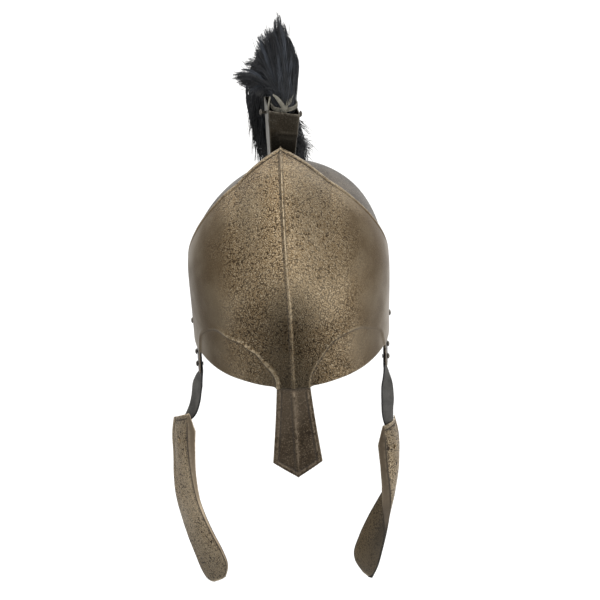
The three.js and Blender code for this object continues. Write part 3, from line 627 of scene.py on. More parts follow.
def brow_plate():
    near = [0.0026, 0.0052, 0.0078, 0.0104, 0.013, 0.0165, 0.021]
    across = both_ways(np.r_[0, near, np.linspace(0.028, 0.48, 66), np.linspace(0.492, 0.993, 48), 0.9975, 1])
    along = np.r_[0, 0.003, np.linspace(0.008, 0.25, 62), np.linspace(0.26, 0.95, 82),
                  np.linspace(0.954, 0.997, 18), 1]
    a, b = grid(across, along)
    base = brow_point(a, b)
    x, z = base[..., 0], base[..., 2]
    aside = np.abs(x)
    step = np.linalg.norm(np.diff(base, axis=1), axis=-1)
    run = np.hstack([np.zeros((len(across), 1)), np.cumsum(step, axis=1)])
    from_top = run[:, -1:] - run
    # ridge: a crisp bead along the keel, its foot widening into a small fork over the nose
    fork = smooth(z, 16, 4)
    ridge = 1.25 * bump(x, mix(1.15, 2.2, fork)) * (1 - 0.35 * fork) - 0.4 * bump(x + 2.4, 0.9)
    # border: a raised band along the upper edge with a groove below it, sharp by the apex
    sharp = mix(1.0, 0.42, smooth(aside, 18, 80)) * mix(1.0, 0.5, smooth(aside, 85, 102))
    border = 1.2 * sharp * smooth(from_top, 5.3, 4.1)
    cut = bump(from_top - 5.8, 1.15) * sharp
    # eyebrows: an embossed line with the eye's field pressed in below it
    emboss, field, dark_line_below_brow = np.zeros((3, *aside.shape))
    for side, force in EYEBROW_FORCE.items():
        fine = spline(EYEBROW[side])(np.linspace(0, 1, 80))
        away = distance_to(base, brow_point(AWAY[side] * fine[:, 0], fine[:, 1]))
        this_half = a * AWAY[side] > 0
        below = this_half & (b < np.interp(np.abs(a), fine[::-1, 0], fine[::-1, 1], left=0, right=0))
        emboss += this_half * force * mix(0.7, 2.2, smooth(aside, 78, 62)) * bump(away, 2.0)
        field += below * smooth(away, 0.4, 6.0) * 1.05 * force
        dark_line_below_brow += below * force * bump(away - 2.6, 1.1)
    height = np.maximum(ridge, emboss) + border - 0.6 * cut - field
    height += unevenness(base, 38, 0.45) + unevenness(base + 50, 16, 0.12)
    outer = brow_point(a, b, height)
    inner = brow_point(a, b, np.minimum(height, 0.4) * 0.6 - SHEET)
    for face in (outer, inner):  # the hand-bent point leans a little to one side
        face[..., 0] -= 3.2 * smooth(face[..., 2], 60, 205) * (1 - 0.6 * smooth(np.abs(face[..., 0]), 30, 95))
    # darkening: in the groove under the border, a dark line along the lower foot of each eyebrow, and painted shade
    # down the keel's left flank
    dirt_and_painted_shade = cut * mix(0.45, 1.0, smooth(aside, 75, 25)) + 0.5 * dark_line_below_brow
    dirt_and_painted_shade += 0.72 * bump(x + 2.3, 0.8) * smooth(from_top, 3, 8) * (1 - 0.6 * smooth(z, 60, 25))
    edge = held_in(smooth(from_top, 2.4, 0.2) + smooth(run, 1.4, 0.1))
    # painted highlights, partly worn bright: a line down the keel, one inside the border band and along each
    # eyebrow, stronger on the left
    wear_and_painted_highlight = 0.75 * bump(x - 0.2, 1.0) * mix(0.35, 1.0, smooth(z, 25, 95))
    wear_and_painted_highlight += 0.6 * bump(from_top - 3.2, 1.1) * sharp + 1.7 * held_in(emboss / 2.2 - 0.3)
    # painted shade: darkened above the nose and on the right of the point, with a painted highlight patch between
    painted_shade = 0.8 * smooth(z, 142, 58) + 0.15 * smooth(z, 35, 0)
    painted_shade = painted_shade * bump(x + 7, 66) * (1 - 0.8 * held_in(wear_and_painted_highlight))
    wear_and_painted_highlight += 0.3 * bump(np.hypot(x - 25, z - 154), 30)
    painted_shade = np.maximum(painted_shade, 0.3 * smooth(z, 140, 180) * smooth(x, -4, 14))
    marks = {"groove": held_in(dirt_and_painted_shade), "rim": held_in(edge + wear_and_painted_highlight), "painted_shade": painted_shade,
             "calm": smooth(aside + unevenness(base, 14, 10), 38, 88)}
    piece("brow_sheet", shell(outer, inner, marks), brow_bronze, "bronze", "brow_plate")


# ---- Nasal ----
NASAL = {"tongue": 22, "corners": -77, "tip": -91, "top_half": 16.4, "low_half": 24.6, "face": 116.3,
         "lean": 23, "sway": 1.4}


def nasal():
    across = both_ways(np.r_[0, np.linspace(0.012, 0.988, 44), 1])
    along = np.r_[np.linspace(-1, -0.06, 16), np.linspace(0, 0.985, 92), 0.994, 1]
    a, b = grid(across, along)
    fall = np.maximum(0, b)
    drop = (NASAL["corners"] - NASAL["tip"]) * fall * (1 - np.abs(a))
    z = np.where(b < 0, -b * NASAL["tongue"], b * NASAL["corners"]) - drop
    half = mix(NASAL["top_half"], NASAL["low_half"], fall ** 1.2)
    off = a * half
    oval = NASAL["face"] * (1 - np.sqrt(1 - (off / BOWL["half_width"]) ** 2))
    y = -NASAL["face"] + oval * mix(1, 0.6, fall) - np.where(fall > 0, NASAL["lean"] * z / NASAL["corners"], 0)
    base = np.stack([off + NASAL["sway"] * fall, y, z], -1)
    to_edge = np.minimum((1 - np.abs(a)) * half, (1 - fall) * 80)
    shown = smooth(b, 0.04, 0.1)
    tall = 1.7 * (1 - 0.75 * smooth(fall, 0.72, 1.0))
    ridge = tall * bump(off - 0.6 * np.sin(fall * 5), mix(2.4, 1.7, fall))
    bead, dip = 0.75 * bump(to_edge - 2.9, 0.85), 0.4 * bump(to_edge - 4.8, 1.0)
    height = (ridge + bead - dip + unevenness(base, 24, 0.3)) * shown
    forward = unit(np.array([0, -1.0, -0.3]))
    outer = base + forward * height[..., None]
    inner = base - forward * (SHEET - 0.35 * np.minimum(height, 1))[..., None]
    # darkening: in the hollow inside the bead, painted shade down the keel's left flank, and a painted shadow across
    # the top where the nasal goes under the brow plate
    dirt_and_painted_shade = (0.6 * bump(to_edge - 4.7, 0.8) + 0.5 * bump(off + 2.8, 0.9)) * shown + 0.5 * smooth(b, 0.07, 0.02)
    # painted highlights, partly worn bright: along the keel and on the bead
    wear_and_painted_highlight = 0.85 * bump(off - 0.2, 1.0) * (1 - smooth(fall, 0.72, 0.95)) + 0.6 * bump(to_edge - 2.7, 0.75)
    edge = held_in(0.8 * smooth(to_edge, 1.0, 0.1) + wear_and_painted_highlight)
    body = shell(outer, inner, {"groove": held_in(dirt_and_painted_shade), "rim": edge * shown})
    piece("nasal_sheet", body, nasal_bronze_painted_shade, "bronze", "nasal")


# ---- Cheek plates: rear edge x, y, z, crease x, y, z, flange width, bow, from the top down ----
CHEEKS = {
    "left": [(-130, 8, -111, -113, -28, -85, 1.5, 2), (-133, 8, -132, -115, -29, -109, 9, 3),
             (-134, 7, -160, -115, -31, -137, 7, 3), (-135, 5, -186, -113, -34, -163, 4.5, 3),
             (-134, 1, -210, -109, -39, -188, 3, 3), (-130, -4, -232, -103, -45, -206, 2.5, 3),
             (-124, -11, -254, -95, -51, -225, 2.2, 3), (-116, -19, -277, -86, -58, -243, 2, 2.5),
             (-110, -25, -293, -81, -62, -258, 1.6, 2), (-102, -33, -305, -83, -61, -277, 1.2, 1)],
    "right": [(106, 8, -120, 94, -28, -110, 1.5, 4), (110, 8, -141, 95, -30, -134, 8, 5),
              (110, 7, -164, 96, -33, -158, 7, 6), (106, 6, -187, 98, -36, -181, 8, 6),
              (97, 4, -207, 99, -39, -202, 10.5, 6), (86, 1, -227, 97, -42, -222, 7, 5),
              (75, -3, -247, 93, -46, -242, 3.2, 4), (65, -8, -268, 88, -50, -260, 2, 3),
              (59, -13, -286, 83, -53, -276, 1.6, 2), (63, -20, -303, 76, -53, -293, 1.2, 1)],
}
CREASE = 0.84
CHEEK_WIDTH, CHEEK_LENGTH = 40.0, 205.0


def cheek_face(side, across, along):
    """The outer face; across runs from the rear edge past the crease to the flange's edge."""
    rows = np.array(CHEEKS[side], float)
    across, along = np.broadcast_arrays(np.asarray(across, float), np.asarray(along, float))
    rear, front = spline(rows[:, :3])(along), spline(rows[:, 3:6])(along)
    chord = front - rear
    out = unit(np.cross((0.0, 0.0, AWAY[side]), chord))
    t = np.minimum(across / CREASE, 1)
    bow = 4 * t * (1 - t) * read(rows, 7, along)
    folded = unit(unit(chord) * 0.35 - out * 0.94)
    past = np.maximum(across - CREASE, 0) / (1 - CREASE) * read(rows, 6, along)
    return rear + chord * t[..., None] + out * bow[..., None] + folded * past[..., None]


def cheek_plate(side):
    flat = np.r_[0, 0.008, np.linspace(0.02, 0.8, 46), 0.81, 0.82, 0.828, 0.834]
    across = np.r_[flat, 0.84, 0.846, 0.853, 0.862, 0.875, 0.89, 0.91, 0.93, 0.95, 0.97, 0.985, 0.994, 1]
    along = np.r_[0, 0.0022, np.linspace(0.006, 0.93, 150), np.linspace(0.934, 0.999, 22), 1]
    a, b = grid(across, along)
    narrow = np.sqrt(1 - 0.86 * held_in((b - 0.93) / 0.07) ** 2.4) * (1 - 0.05 * held_in((0.012 - b) / 0.012) ** 2)
    held = 0.5 + (a - 0.5) * narrow
    base = cheek_face(side, held, b)
    near = np.abs(across - CREASE) < 0.022
    for _ in range(3):  # soften the crease to a bend
        rounded = base.copy()
        rounded[1:-1] = (base[:-2] + 2 * base[1:-1] + base[2:]) / 4
        base = np.where(near[:, None, None], rounded, base)
    out = normals(base, AWAY[side])
    from_rear, from_top, to_crease = held * CHEEK_WIDTH, b * CHEEK_LENGTH, (CREASE - held) * CHEEK_WIDTH
    inset = smooth(b, 0.42, 0.08) * 0.65 + 0.35 * smooth(b, 0.75, 0.3)
    flat_part = (a < CREASE).astype(float)
    groove = np.maximum(bump(from_rear - 6.2, 1.5), bump(from_top - 5.4, 1.4) * smooth(held, 0.06, 0.16)) * inset
    groove = np.maximum(groove, 0.5 * bump(to_crease - 2.2, 1.2) * smooth(b, 0.8, 0.3)) * flat_part
    hem = 0.6 * np.maximum(smooth(from_rear, 5.4, 3.4), smooth(from_top, 4.8, 3.2)) * flat_part
    height = hem * inset - 0.55 * groove + unevenness(base, 30, 0.5) + unevenness(base + 90, 13, 0.12)
    outer = base + out * height[..., None]
    inner = base - out * (SHEET - 0.8 * height)[..., None]
    # dark lines: painted shade in the crease, along the flange's outer edge low down and along the rear edge at the
    # foot; the grooves are darkened too
    line = 0.85 * bump((a - 0.836) * CHEEK_WIDTH, 1.0) * smooth(b, 0.02, 0.08)
    line = np.maximum(line, 0.9 * smooth(a, 0.975, 0.995) * smooth(b, 0.35, 0.6))
    line = np.maximum(line, 0.75 * smooth(from_rear, 1.9, 0.5) * smooth(b, 0.99, 0.93))
    dirt_and_painted_shade = held_in(groove * 0.95 + line)
    # rim: worn edges, with painted highlights along the bottom lip and on the flange past the crease
    edge = held_in(0.3 * smooth(from_rear, 2.8, 0.6) + smooth(1 - a, 0.03, 0.0) + smooth(from_top, 1.8, 0.1)
                   + 0.9 * smooth(b, 0.975, 1.0) + 0.5 * bump((a - 0.875) * CHEEK_WIDTH, 0.9))
    # painted shade: darker towards the bottom, and at the top towards the front
    painted_shade = 0.6 * smooth(b, 0.45, 0.95) + 0.3 * smooth(b, 0.3, 0.1) * smooth(held, 0.1, 0.75)
    painted_shade = painted_shade * (1 - edge)
    if side == "right":  # its folded strip turns under and goes dark below the twist
        # painted shade below the twist: the turned-under strip darkened, a band across the inner face, and no pale
        # rim on the strip
        under = smooth(a, CREASE - 0.02, CREASE + 0.01)
        dirt_and_painted_shade = np.maximum(dirt_and_painted_shade, under * mix(0.45, 0.9, smooth(b, 0.55, 0.65)) * smooth(b, 0.34, 0.5))
        painted_shade = np.maximum(painted_shade, under * mix(0.66, 0.9, smooth(b, 0.2, 0.4)))
        dirt_and_painted_shade = np.maximum(dirt_and_painted_shade, 0.55 * smooth(a, 0.15, 0.6) * bump(b - 0.66, 0.24))
        edge = edge * (1 - smooth(a, CREASE - 0.03, CREASE) * smooth(b, 0.34, 0.5))
    marks = {"groove": dirt_and_painted_shade, "rim": edge, "fold": smooth(a, CREASE - 0.012, CREASE + 0.02), "painted_shade": painted_shade}
    piece(f"cheek_sheet_{side}", shell(outer, inner, marks), cheek_bronze, "bronze", f"cheek_plate_{side}")


# ---- Straps: middle x, y, z and turn in degrees, from the top down to the cheek plate ----
STRAP = {"width": 15.0, "thickness": 2.2, "off_plate": 1.3}
STRAP_ROWS = {
    "left": [(-96.1, -13, -8, 5.5), (-96.1, -13, -24, 5.5), (-96.1, -13, -41, 6), (-99.2, -13.4, -50, 26),
             (-101.6, -14, -59, 40), (-104, -14.5, -74, 38), (-108.6, -15, -89, 34)],
    "right": [(96, -13, -8, 5.5), (96, -13, -24, 5.5), (96, -13, -42, 5.5), (97, -14, -54, 24),
              (98, -16, -68, 54), (98.4, -17, -84, 62), (98.2, -16, -101, 52)],
}


def off_cheek(side, across, along, stand):
    """A point that stands off the cheek plate's outer face."""
    step = 0.004
    ahead = cheek_face(side, across + step, along) - cheek_face(side, across - step, along)
    down = cheek_face(side, across, along + step) - cheek_face(side, across, along - step)
    return cheek_face(side, across, along) + unit(np.cross(ahead, down)) * AWAY[side] * stand


def strap(side):
    middles = [row[:3] for row in STRAP_ROWS[side]]
    turns = np.radians([row[3] for row in STRAP_ROWS[side]])
    ways = [(-AWAY[side] * math.sin(turn), -math.cos(turn), 0) for turn in turns]
    for along in (0.07, 0.13, 0.2):
        middles.append(off_cheek(side, 0.5, along, -(SHEET + STRAP["off_plate"] + STRAP["thickness"] / 2)))
        ways.append(unit(cheek_face(side, 0.6, along) - cheek_face(side, 0.4, along)))
    s, u = grid(np.r_[0, 0.02, np.linspace(0.06, 0.94, 21), 0.98, 1],
                np.r_[0, 0.004, np.linspace(0.015, 0.985, 110), 0.996, 1])
    to_side, to_end = np.minimum(s, 1 - s), np.minimum(u, 1 - u)
    offset = (s - 0.5) * STRAP["width"] * (1 - 0.16 * bump(to_end, 0.012))
    base = spline(middles)(u) + unit(spline(ways)(u)) * offset[..., None]
    half = STRAP["thickness"] / 2 * (1 - 0.45 * bump(to_side, 0.05)) + unevenness(base, 9, 0.12)
    rise = normals(base, AWAY[side]) * half[..., None]
    edge = held_in(smooth(to_side, 0.075, 0.03) + smooth(to_end, 0.012, 0.004))
    body = shell(base + rise, base - rise, {"rim": edge}, bulge=0.3)
    piece(f"strap_hide_{side}", body, strap_leather, "leather", f"strap_{side}")


# ---- Plume socket ----
BOX_LOW = {"x": -4.4, "y": 36.0, "z": 160.0, "half_width": 11.2, "half_depth": 15.0}
BOX_HIGH = {"x": -0.2, "y": 36.5, "z": 237.0, "half_width": 16.4, "half_depth": 18.5}
SOCKET = {"wall": 1.5, "turn": math.radians(7.0), "slant": 3.4, "foot": 14.2, "foot_half_width": 8.0,
          "foot_middle": -1.5, "corner": 0.11}


def dome_height(x, y, stand):
    width, length = BOWL["half_width"] + stand, BOWL["half_length"] + stand
    inside = np.maximum(0, 1 - (x / width) ** 2 - (y / length) ** 2)
    return SHOULDER + (BOWL["crown"] - SHOULDER + stand) * np.sqrt(inside)


def turned(x, y, wide, deep):
    """The point that lies wide across and deep along the turned socket from x, y."""
    c, s = math.cos(SOCKET["turn"]), math.sin(SOCKET["turn"])
    return x + wide * c - deep * s, y + wide * s + deep * c


def box_point(u, v, shrink, z):
    """A point of the box's wall; u and v run from -1 to 1 across and along it."""
    t = (z - BOX_LOW["z"]) / (BOX_HIGH["z"] - BOX_LOW["z"])
    x, y, width, depth = [mix(BOX_LOW[key], BOX_HIGH[key], t) for key in ("x", "y", "half_width", "half_depth")]
    return turned(x, y, u * (width - shrink), v * (depth - shrink))


def box_walls():
    # the outline as complex numbers: a rounded corner and the straight run to the next, turned four times
    rounded = 1 - SOCKET["corner"] + SOCKET["corner"] * np.exp(1j * np.linspace(0, math.pi / 2, 6))
    corner = rounded + 1j * (1 - SOCKET["corner"])
    quarter = np.r_[corner, np.linspace(corner[-1], corner[0] * 1j, 10)[1:-1]]
    outline = np.concatenate([quarter * 1j ** k for k in range(4)])[:, None]
    u, v = outline.real, outline.imag
    share = np.r_[0, 0.01, np.linspace(0.03, 0.975, 46), 0.99, 1]

    def face(shrink):
        foot = 170.0
        for _ in range(6):
            foot = dome_height(*box_point(u, v, shrink, foot), 0.55)
        z = mix(foot, BOX_HIGH["z"] - SOCKET["slant"] * u + 0.5 * np.sin(3 * v + u), share)
        return np.stack([*box_point(u, v, shrink, z), z], -1)
    outer, inner = face(0.0), face(SOCKET["wall"])
    x, y, z = np.moveaxis(outer, -1, 0)
    # a shallow crease in the front wall, from its upper left corner down and across
    front = smooth(BOX_LOW["y"] - y, 8, 14)
    line = 229 - 15 * smooth(x, -11, -4) - 2.5 * smooth(x, -4, 14)
    crease = front * (0.9 * bump(z - line, 2.2) - 0.5 * smooth(z - line, -1, -9))
    # painted shade below the crease; darker at the foot where the box meets the dome
    dirt_and_painted_shade = np.maximum(0.4 * front * bump(z - line + 4, 2.5), 0.5 * smooth(share, 0.05, 0.0))
    # painted reflection: the left wall pale grey and less metallic, as if it reflected the bright room
    left_wall_painted_reflection = 0.85 * smooth(BOX_LOW["x"] - 4 - x, 2, 6) * smooth(np.abs(y - 36), 15.5, 14)
    lean = np.minimum((unevenness(outer, 22, 0.55) - 0.3 + 0.55 * crease) * smooth(share, 0.0, 0.15), 0.45)
    out = unit((outer - outer.mean(axis=0, keepdims=True)) * (1, 1, 0)) * lean[..., None]
    edge = np.zeros(x.shape)
    edge[:, -3:] = 1
    rows, columns = x.shape
    count = rows * columns
    faces, (low, low_ahead), (high, high_ahead) = sleeve_faces(rows, columns)
    faces += strip(low_ahead, low, low + count, low_ahead + count)
    faces += strip(high, high_ahead, high_ahead + count, high + count)
    marks = {key: np.tile(v.ravel(), 2) for key, v in (("rim", edge), ("groove", dirt_and_painted_shade), ("rubbed", left_wall_painted_reflection))}
    marks["inside"] = np.repeat([0.0, 1.0], count)
    points = np.vstack([(outer + out).reshape(-1, 3), (inner + out).reshape(-1, 3)])
    return points, face_out(points, faces), marks


def box_foot(way):
    """One foot: a strip that follows the dome out from the box, its end rounded."""
    u, v = grid(np.r_[-1, -0.97, np.linspace(-0.9, 0.9, 15), 0.97, 1], np.r_[np.linspace(0, 0.97, 24), 0.99, 1])
    narrow = np.sqrt(1 - 0.75 * held_in((v - 0.6) / 0.4) ** 2)
    reach = BOX_LOW["half_depth"] + mix(-0.6, SOCKET["foot"], v)
    x, y = turned(SOCKET["foot_middle"], BOX_LOW["y"], u * SOCKET["foot_half_width"] * narrow, way * reach)
    lower, upper = [np.stack([x, y, dome_height(x, y, stand)], -1) for stand in (0.4, 1.85)]
    edge = held_in(smooth(np.abs(u), 0.9, 1) + smooth(v, 0.95, 1))
    return shell(upper, lower, {"rim": edge, "groove": np.zeros_like(edge), "rubbed": np.zeros_like(edge)})


def crest_holder():
    piece("plume_socket", join(box_walls(), box_foot(-1), box_foot(1)), socket_bronze_painted_shade, "bronze", "crest_holder")


# ---- Rivets ----
SHANK_RADIUS, BACK_RADIUS = 1.6, 2.6


def domed(radius, height, level=0.0):
    """A dome's profile, from its top out to its edge."""
    return [(radius * math.sin(k), level + height * math.cos(k)) for k in np.linspace(0, math.pi / 2, 8)]


def rivet(name, at, out, grip, head, height, finish=rivet_steel, slot="rivet"):
    """A rivet with its head on at and its closed end a grip behind it."""
    shank = [(head / 2 - 0.15, -0.12), (SHANK_RADIUS, -0.12), (SHANK_RADIUS, -grip)]
    back = [(BACK_RADIUS - 0.2, -grip), (BACK_RADIUS, -grip - 0.15), (BACK_RADIUS - 0.6, -grip - 0.5),
            (0, -grip - 0.6)]
    piece(f"{name}_head", revolve([*domed(head / 2, height), *shank, *back], at, out), finish, slot, name)


def rivets():
    for side, way in AWAY.items():
        rivet(f"side_rivet_{side}", (way * 102.5, 0, 13), (way, 0, 0), 5.0, 6.4, 1.7)
        rivet(f"strap_rivet_{side}_upper", (way * 99.6, -13, -17), (way, 0, 0), 5.4, 6.2, 1.9)
        rivet(f"strap_rivet_{side}_lower", (way * 99.6, -13, -32), (way, 0, 0), 5.4, 6.2, 1.9)
        rivet(f"nasal_rivet_{side}", (way * 6, -116.45, 12.5), (0, -1, 0), 5.3, 5.4, 0.3, brow_bronze, "bronze")
        head = off_cheek(side, 0.5, 0.145, 0.45)
        out = head - off_cheek(side, 0.5, 0.145, 0.0)
        rivet(f"cheek_rivet_{side}", head, out, 5.8, 5.4, 0.9, cheek_bronze, "bronze")
    for where, way in (("front", -1), ("rear", 1)):
        reach = way * (BOX_LOW["half_depth"] + 9.5)
        x, y = SOCKET["foot_middle"] - reach * math.sin(SOCKET["turn"]), BOX_LOW["y"] + reach
        z = dome_height(x, y, 0.0)
        rise = BOWL["crown"] - SHOULDER
        out = unit(np.array([x / BOWL["half_width"] ** 2, y / BOWL["half_length"] ** 2, (z - SHOULDER) / rise ** 2]))
        rivet(f"crest_rivet_{where}", np.array([x, y, z]) + out * 2.2, out, 4.4, 6.4, 1.8)
    left, right = np.array([-21.2, 36, 231]), np.array([17.6, 40, 225.5])
    half = np.linalg.norm(right - left) / 2
    upper = [*domed(3.3, 2.2, half), (3.2, half - 0.1), (1.5, half - 0.1)]
    lower = [(radius, -level) for radius, level in upper][::-1]
    bar = revolve([*upper, *lower], (left + right) / 2, right - left)
    piece("plume_pin_bar", bar, rivet_steel, "rivet", "plume_pin")


# ---- Plume: middle x, y, z, half width and half depth, from the root over and down ----
PLUME = np.array([
    (-1, 36, 188, 6, 8), (0.8, 36, 212, 9, 11), (2, 36.5, 232, 11, 11), (2, 37, 246, 11, 11),
    (-7, 41, 258, 21, 16), (-12, 48, 272, 25, 19), (-9, 58, 287, 17, 20), (-10, 76, 284, 18, 19),
    (-14, 90, 258, 23, 17), (-14, 98, 224, 25, 15), (-9, 105, 188, 26, 14), (-2, 115, 150, 27, 12.5),
    (0, 127, 100, 25, 11), (0, 132, 55, 21, 10), (0, 132, 22, 12, 6)])
plume_spine = spline(PLUME[:, :3])
# Where the free ends of the fan lie, from its upright right side over the peak to its low left side.
fan_tips = spline([
    (14, 55, 288), (10, 58, 300), (7, 60, 309), (3, 61, 317), (-1, 62, 324), (-4, 61, 320), (-7, 61, 313),
    (-12, 60, 310), (-17, 60, 309), (-22, 58, 306), (-25, 57, 294), (-30, 55, 284), (-38, 53, 276),
    (-49, 50, 267), (-46, 53, 259), (-39, 58, 250)])
HAIR_RADIUS = 0.36
FAN = {"locks": 66, "each": 24}
FALL = {"locks": 70, "strands": 1300, "start": 0.16, "within": 0.97}


def pulled(t, *rows):
    """A curve from the first row to the last, pulled towards those between."""
    while len(rows) > 1:
        rows = [mix(p, q, t[:, None]) for p, q in zip(rows, rows[1:])]
    return rows[0]


def hair(strands):
    """Three-sided tapering strands as one body; each strand is a path of points with its own shade."""
    paths = np.array([path for path, _ in strands])
    count, steps = paths.shape[:2]
    ahead = unit(np.gradient(paths, axis=1))[:, :, None]
    side = unit(np.cross(ahead, (0.3, 0.5, 0.81)))
    turn = 2 * math.pi * np.arange(3)[:, None] / 3
    share = np.linspace(0, 1, steps)
    radius = HAIR_RADIUS * (1 - 0.72 * share ** 1.6)
    hoop = np.cos(turn) * side + np.sin(turn) * np.cross(ahead, side)
    points = (paths[:, :, None] + radius[:, None, None] * hoop).reshape(-1, 3)
    first = np.arange(count) * steps * 3
    last = first + (steps - 1) * 3
    here = (first[:, None] + np.arange(steps - 1) * 3).ravel()
    faces = []
    for k, n in ((0, 1), (1, 2), (2, 0)):
        faces += strip(here + k, here + n, here + 3 + n, here + 3 + k)
    faces += strip(first + 2, first + 1, first) + strip(last, last + 1, last + 2)
    shades = [shade for _, shade in strands]
    return points, faces, {"shade": np.repeat(shades, steps * 3), "along": np.tile(np.repeat(share, 3), count)}


def fan_strands():
    """Locks that spring from the socket and spread into the upright fan, each ending in a point of its own."""
    made = []
    t = np.linspace(0, 1, 13)
    for lock in range(FAN["locks"]):
        place_at = (lock + spread.random()) / FAN["locks"]
        full = spread.random() < 0.72
        reach = 0.93 + 0.08 * spread.random() if full else 0.55 + 0.35 * spread.random()
        angle, ring = spread.random() * 2 * math.pi, math.sqrt(spread.random())
        lock_root = np.array([2 + 9.0 * ring * math.cos(angle), 33 + 8.5 * ring * math.sin(angle), 233.0])
        depth = 16 * (spread.random() - 0.5)
        lock_tip = lock_root + (fan_tips(place_at) - lock_root) * reach + (0, depth, 0)
        # the lock's tone: the lighter ones make painted sheen streaks
        shade = 0.2 + 0.8 * spread.random() ** 1.6
        width = 2.0 + 1.6 * spread.random()
        lean = 7.5 * max(0.0, 1 - place_at / 0.32)
        for _ in range(FAN["each"]):
            root = lock_root + spread.normal(0, 0.9, 3) * (1, 1, 0)
            length = 1 - 0.16 * spread.random() ** 2
            tip = root + (lock_tip - root) * length + spread.normal(0, 0.5 + 5 * (1 - length), 3)
            rise = root + (tip - root) * (0.1, 0.1, 0) + (0.6 * lean, 0, 24 + 12 * (1 - place_at))
            turn = mix(rise, tip, 0.52) + (lean, 2.0, 4.0 + 9 * place_at) + spread.normal(0, width * 0.5, 3)
            made.append((pulled(t, root, rise, turn, tip), held_in(shade + spread.normal(0, 0.12))))
    return made


def fall_strands(reach_low, reach_high):
    """Strands that follow the plume over and down behind the bowl."""
    locks = [(spread.random() * 2 * math.pi, math.sqrt(spread.random())) for _ in range(FALL["locks"])]
    t = np.linspace(0, 1, 17)
    made = []
    for _ in range(FALL["strands"]):
        angle, ring = locks[spread.integers(len(locks))]
        angle += spread.normal(0, 0.25)
        ring = min(1.0, max(0.3, ring + spread.normal(0, 0.07))) * FALL["within"]
        at = mix(FALL["start"], mix(reach_low, reach_high, spread.random() ** 0.7), t)
        ahead = unit(plume_spine(at + 0.004) - plume_spine(at - 0.004))
        drift = angle + 0.5 * spread.normal() * t
        held = mix(0.45, 1.0, smooth(at, 0.46, 0.66))
        tight = held * ring * (1 - 0.3 * smooth(t, 0.8, 1))
        wide, deep = [read(PLUME, k, at) * tight * way for k, way in ((3, np.cos(drift)), (4, np.sin(drift)))]
        path = plume_spine(at) + np.outer((1 - held) * 2, (2.0, 9.0, -5.0)) + np.outer(wide, (1, 0, 0))
        path += unit(np.cross((1.0, 0, 0), ahead)) * deep[:, None]
        path += np.sin(t * 7 * (0.5 + spread.random()))[:, None] * spread.normal(0, 0.7, 3) * t[:, None]
        made.append((path, 0.2 + 0.75 * spread.random()))
    return made


def stray_strands():
    """Loose hairs at the fan's left, over the peak, and the small tuft low on the right."""
    made = []
    t = np.linspace(0, 1, 9)

    def stray(start, end, bend):
        made.append((pulled(t, start, (start + end) / 2 + spread.normal(0, bend, 3), end), 0.4))

    def tuft(count, start_at, loose, end_at, end_loose, bend):
        for _ in range(count):
            start = spread.normal(start_at, loose, 3)
            stray(start, spread.normal(end_at, end_loose, 3), bend)
    tuft(120, (8, 96, 176), 3.5, (24, 97, 158), (4.6, 4.6, 6.9), 2.6)  # behind the socket, on the right
    for _ in range(24):
        start = spread.normal((11, 92, 196), 2, 3)
        stray(start, start + spread.normal((10, 2, -14), 3, 3), 2.0)
    tuft(220, (-20, 80, 258), 4, (-33, 94, 196), (2.4, 3, 9), 2.0)  # hanging behind the socket, on the left
    tuft(240, (-24, 88, 232), 4, (-27, 100, 160), (3.6, 3, 12), 2.0)
    for _ in range(46):  # round the fan's outline
        end = fan_tips(spread.random()) + spread.normal(0, 3.0, 3)
        stray(mix(np.array([2.0, 34, 240]), end, 0.55 + 0.2 * spread.random()), end, 2.4)
    return made


def plume():
    strands = {"fan_front": fan_strands(), "fan_rear": fan_strands(), "fall_upper": fall_strands(0.45, 0.78),
               "fall_lower": fall_strands(0.8, 1.0), "strays": stray_strands()}
    for name, made in strands.items():
        piece(f"plume_{name}", hair(made), horsehair_black, "hair", *(["plume"] if name == "fan_front" else []))
    # the middle of the fall, under its strands
    at = np.linspace(0.34, 0.97, 60)
    middle = plume_spine(at)
    a, b = read(PLUME, 3, at), read(PLUME, 4, at)
    full = mix(0.2, 0.8, smooth(at, 0.46, 0.68)) * mix(1.0, 0.25, smooth(at, 0.85, 0.97))
    flat_way = np.cross((1.0, 0, 0), unit(np.gradient(middle, axis=0)))
    points, faces, marks = tube(middle, a * full, 20, b / a, flat_way)
    points = points + np.outer(unevenness(points, 7, 1.6), (1, 0.4, 0.2))
    piece("plume_core", (points, faces, marks), horsehair_black, "hair")


CORD = {"turns": 4.6, "radius": 0.82, "ring": 12.95, "x": 2, "y": 36.7, "foot": 235.6, "rise": 4.6}


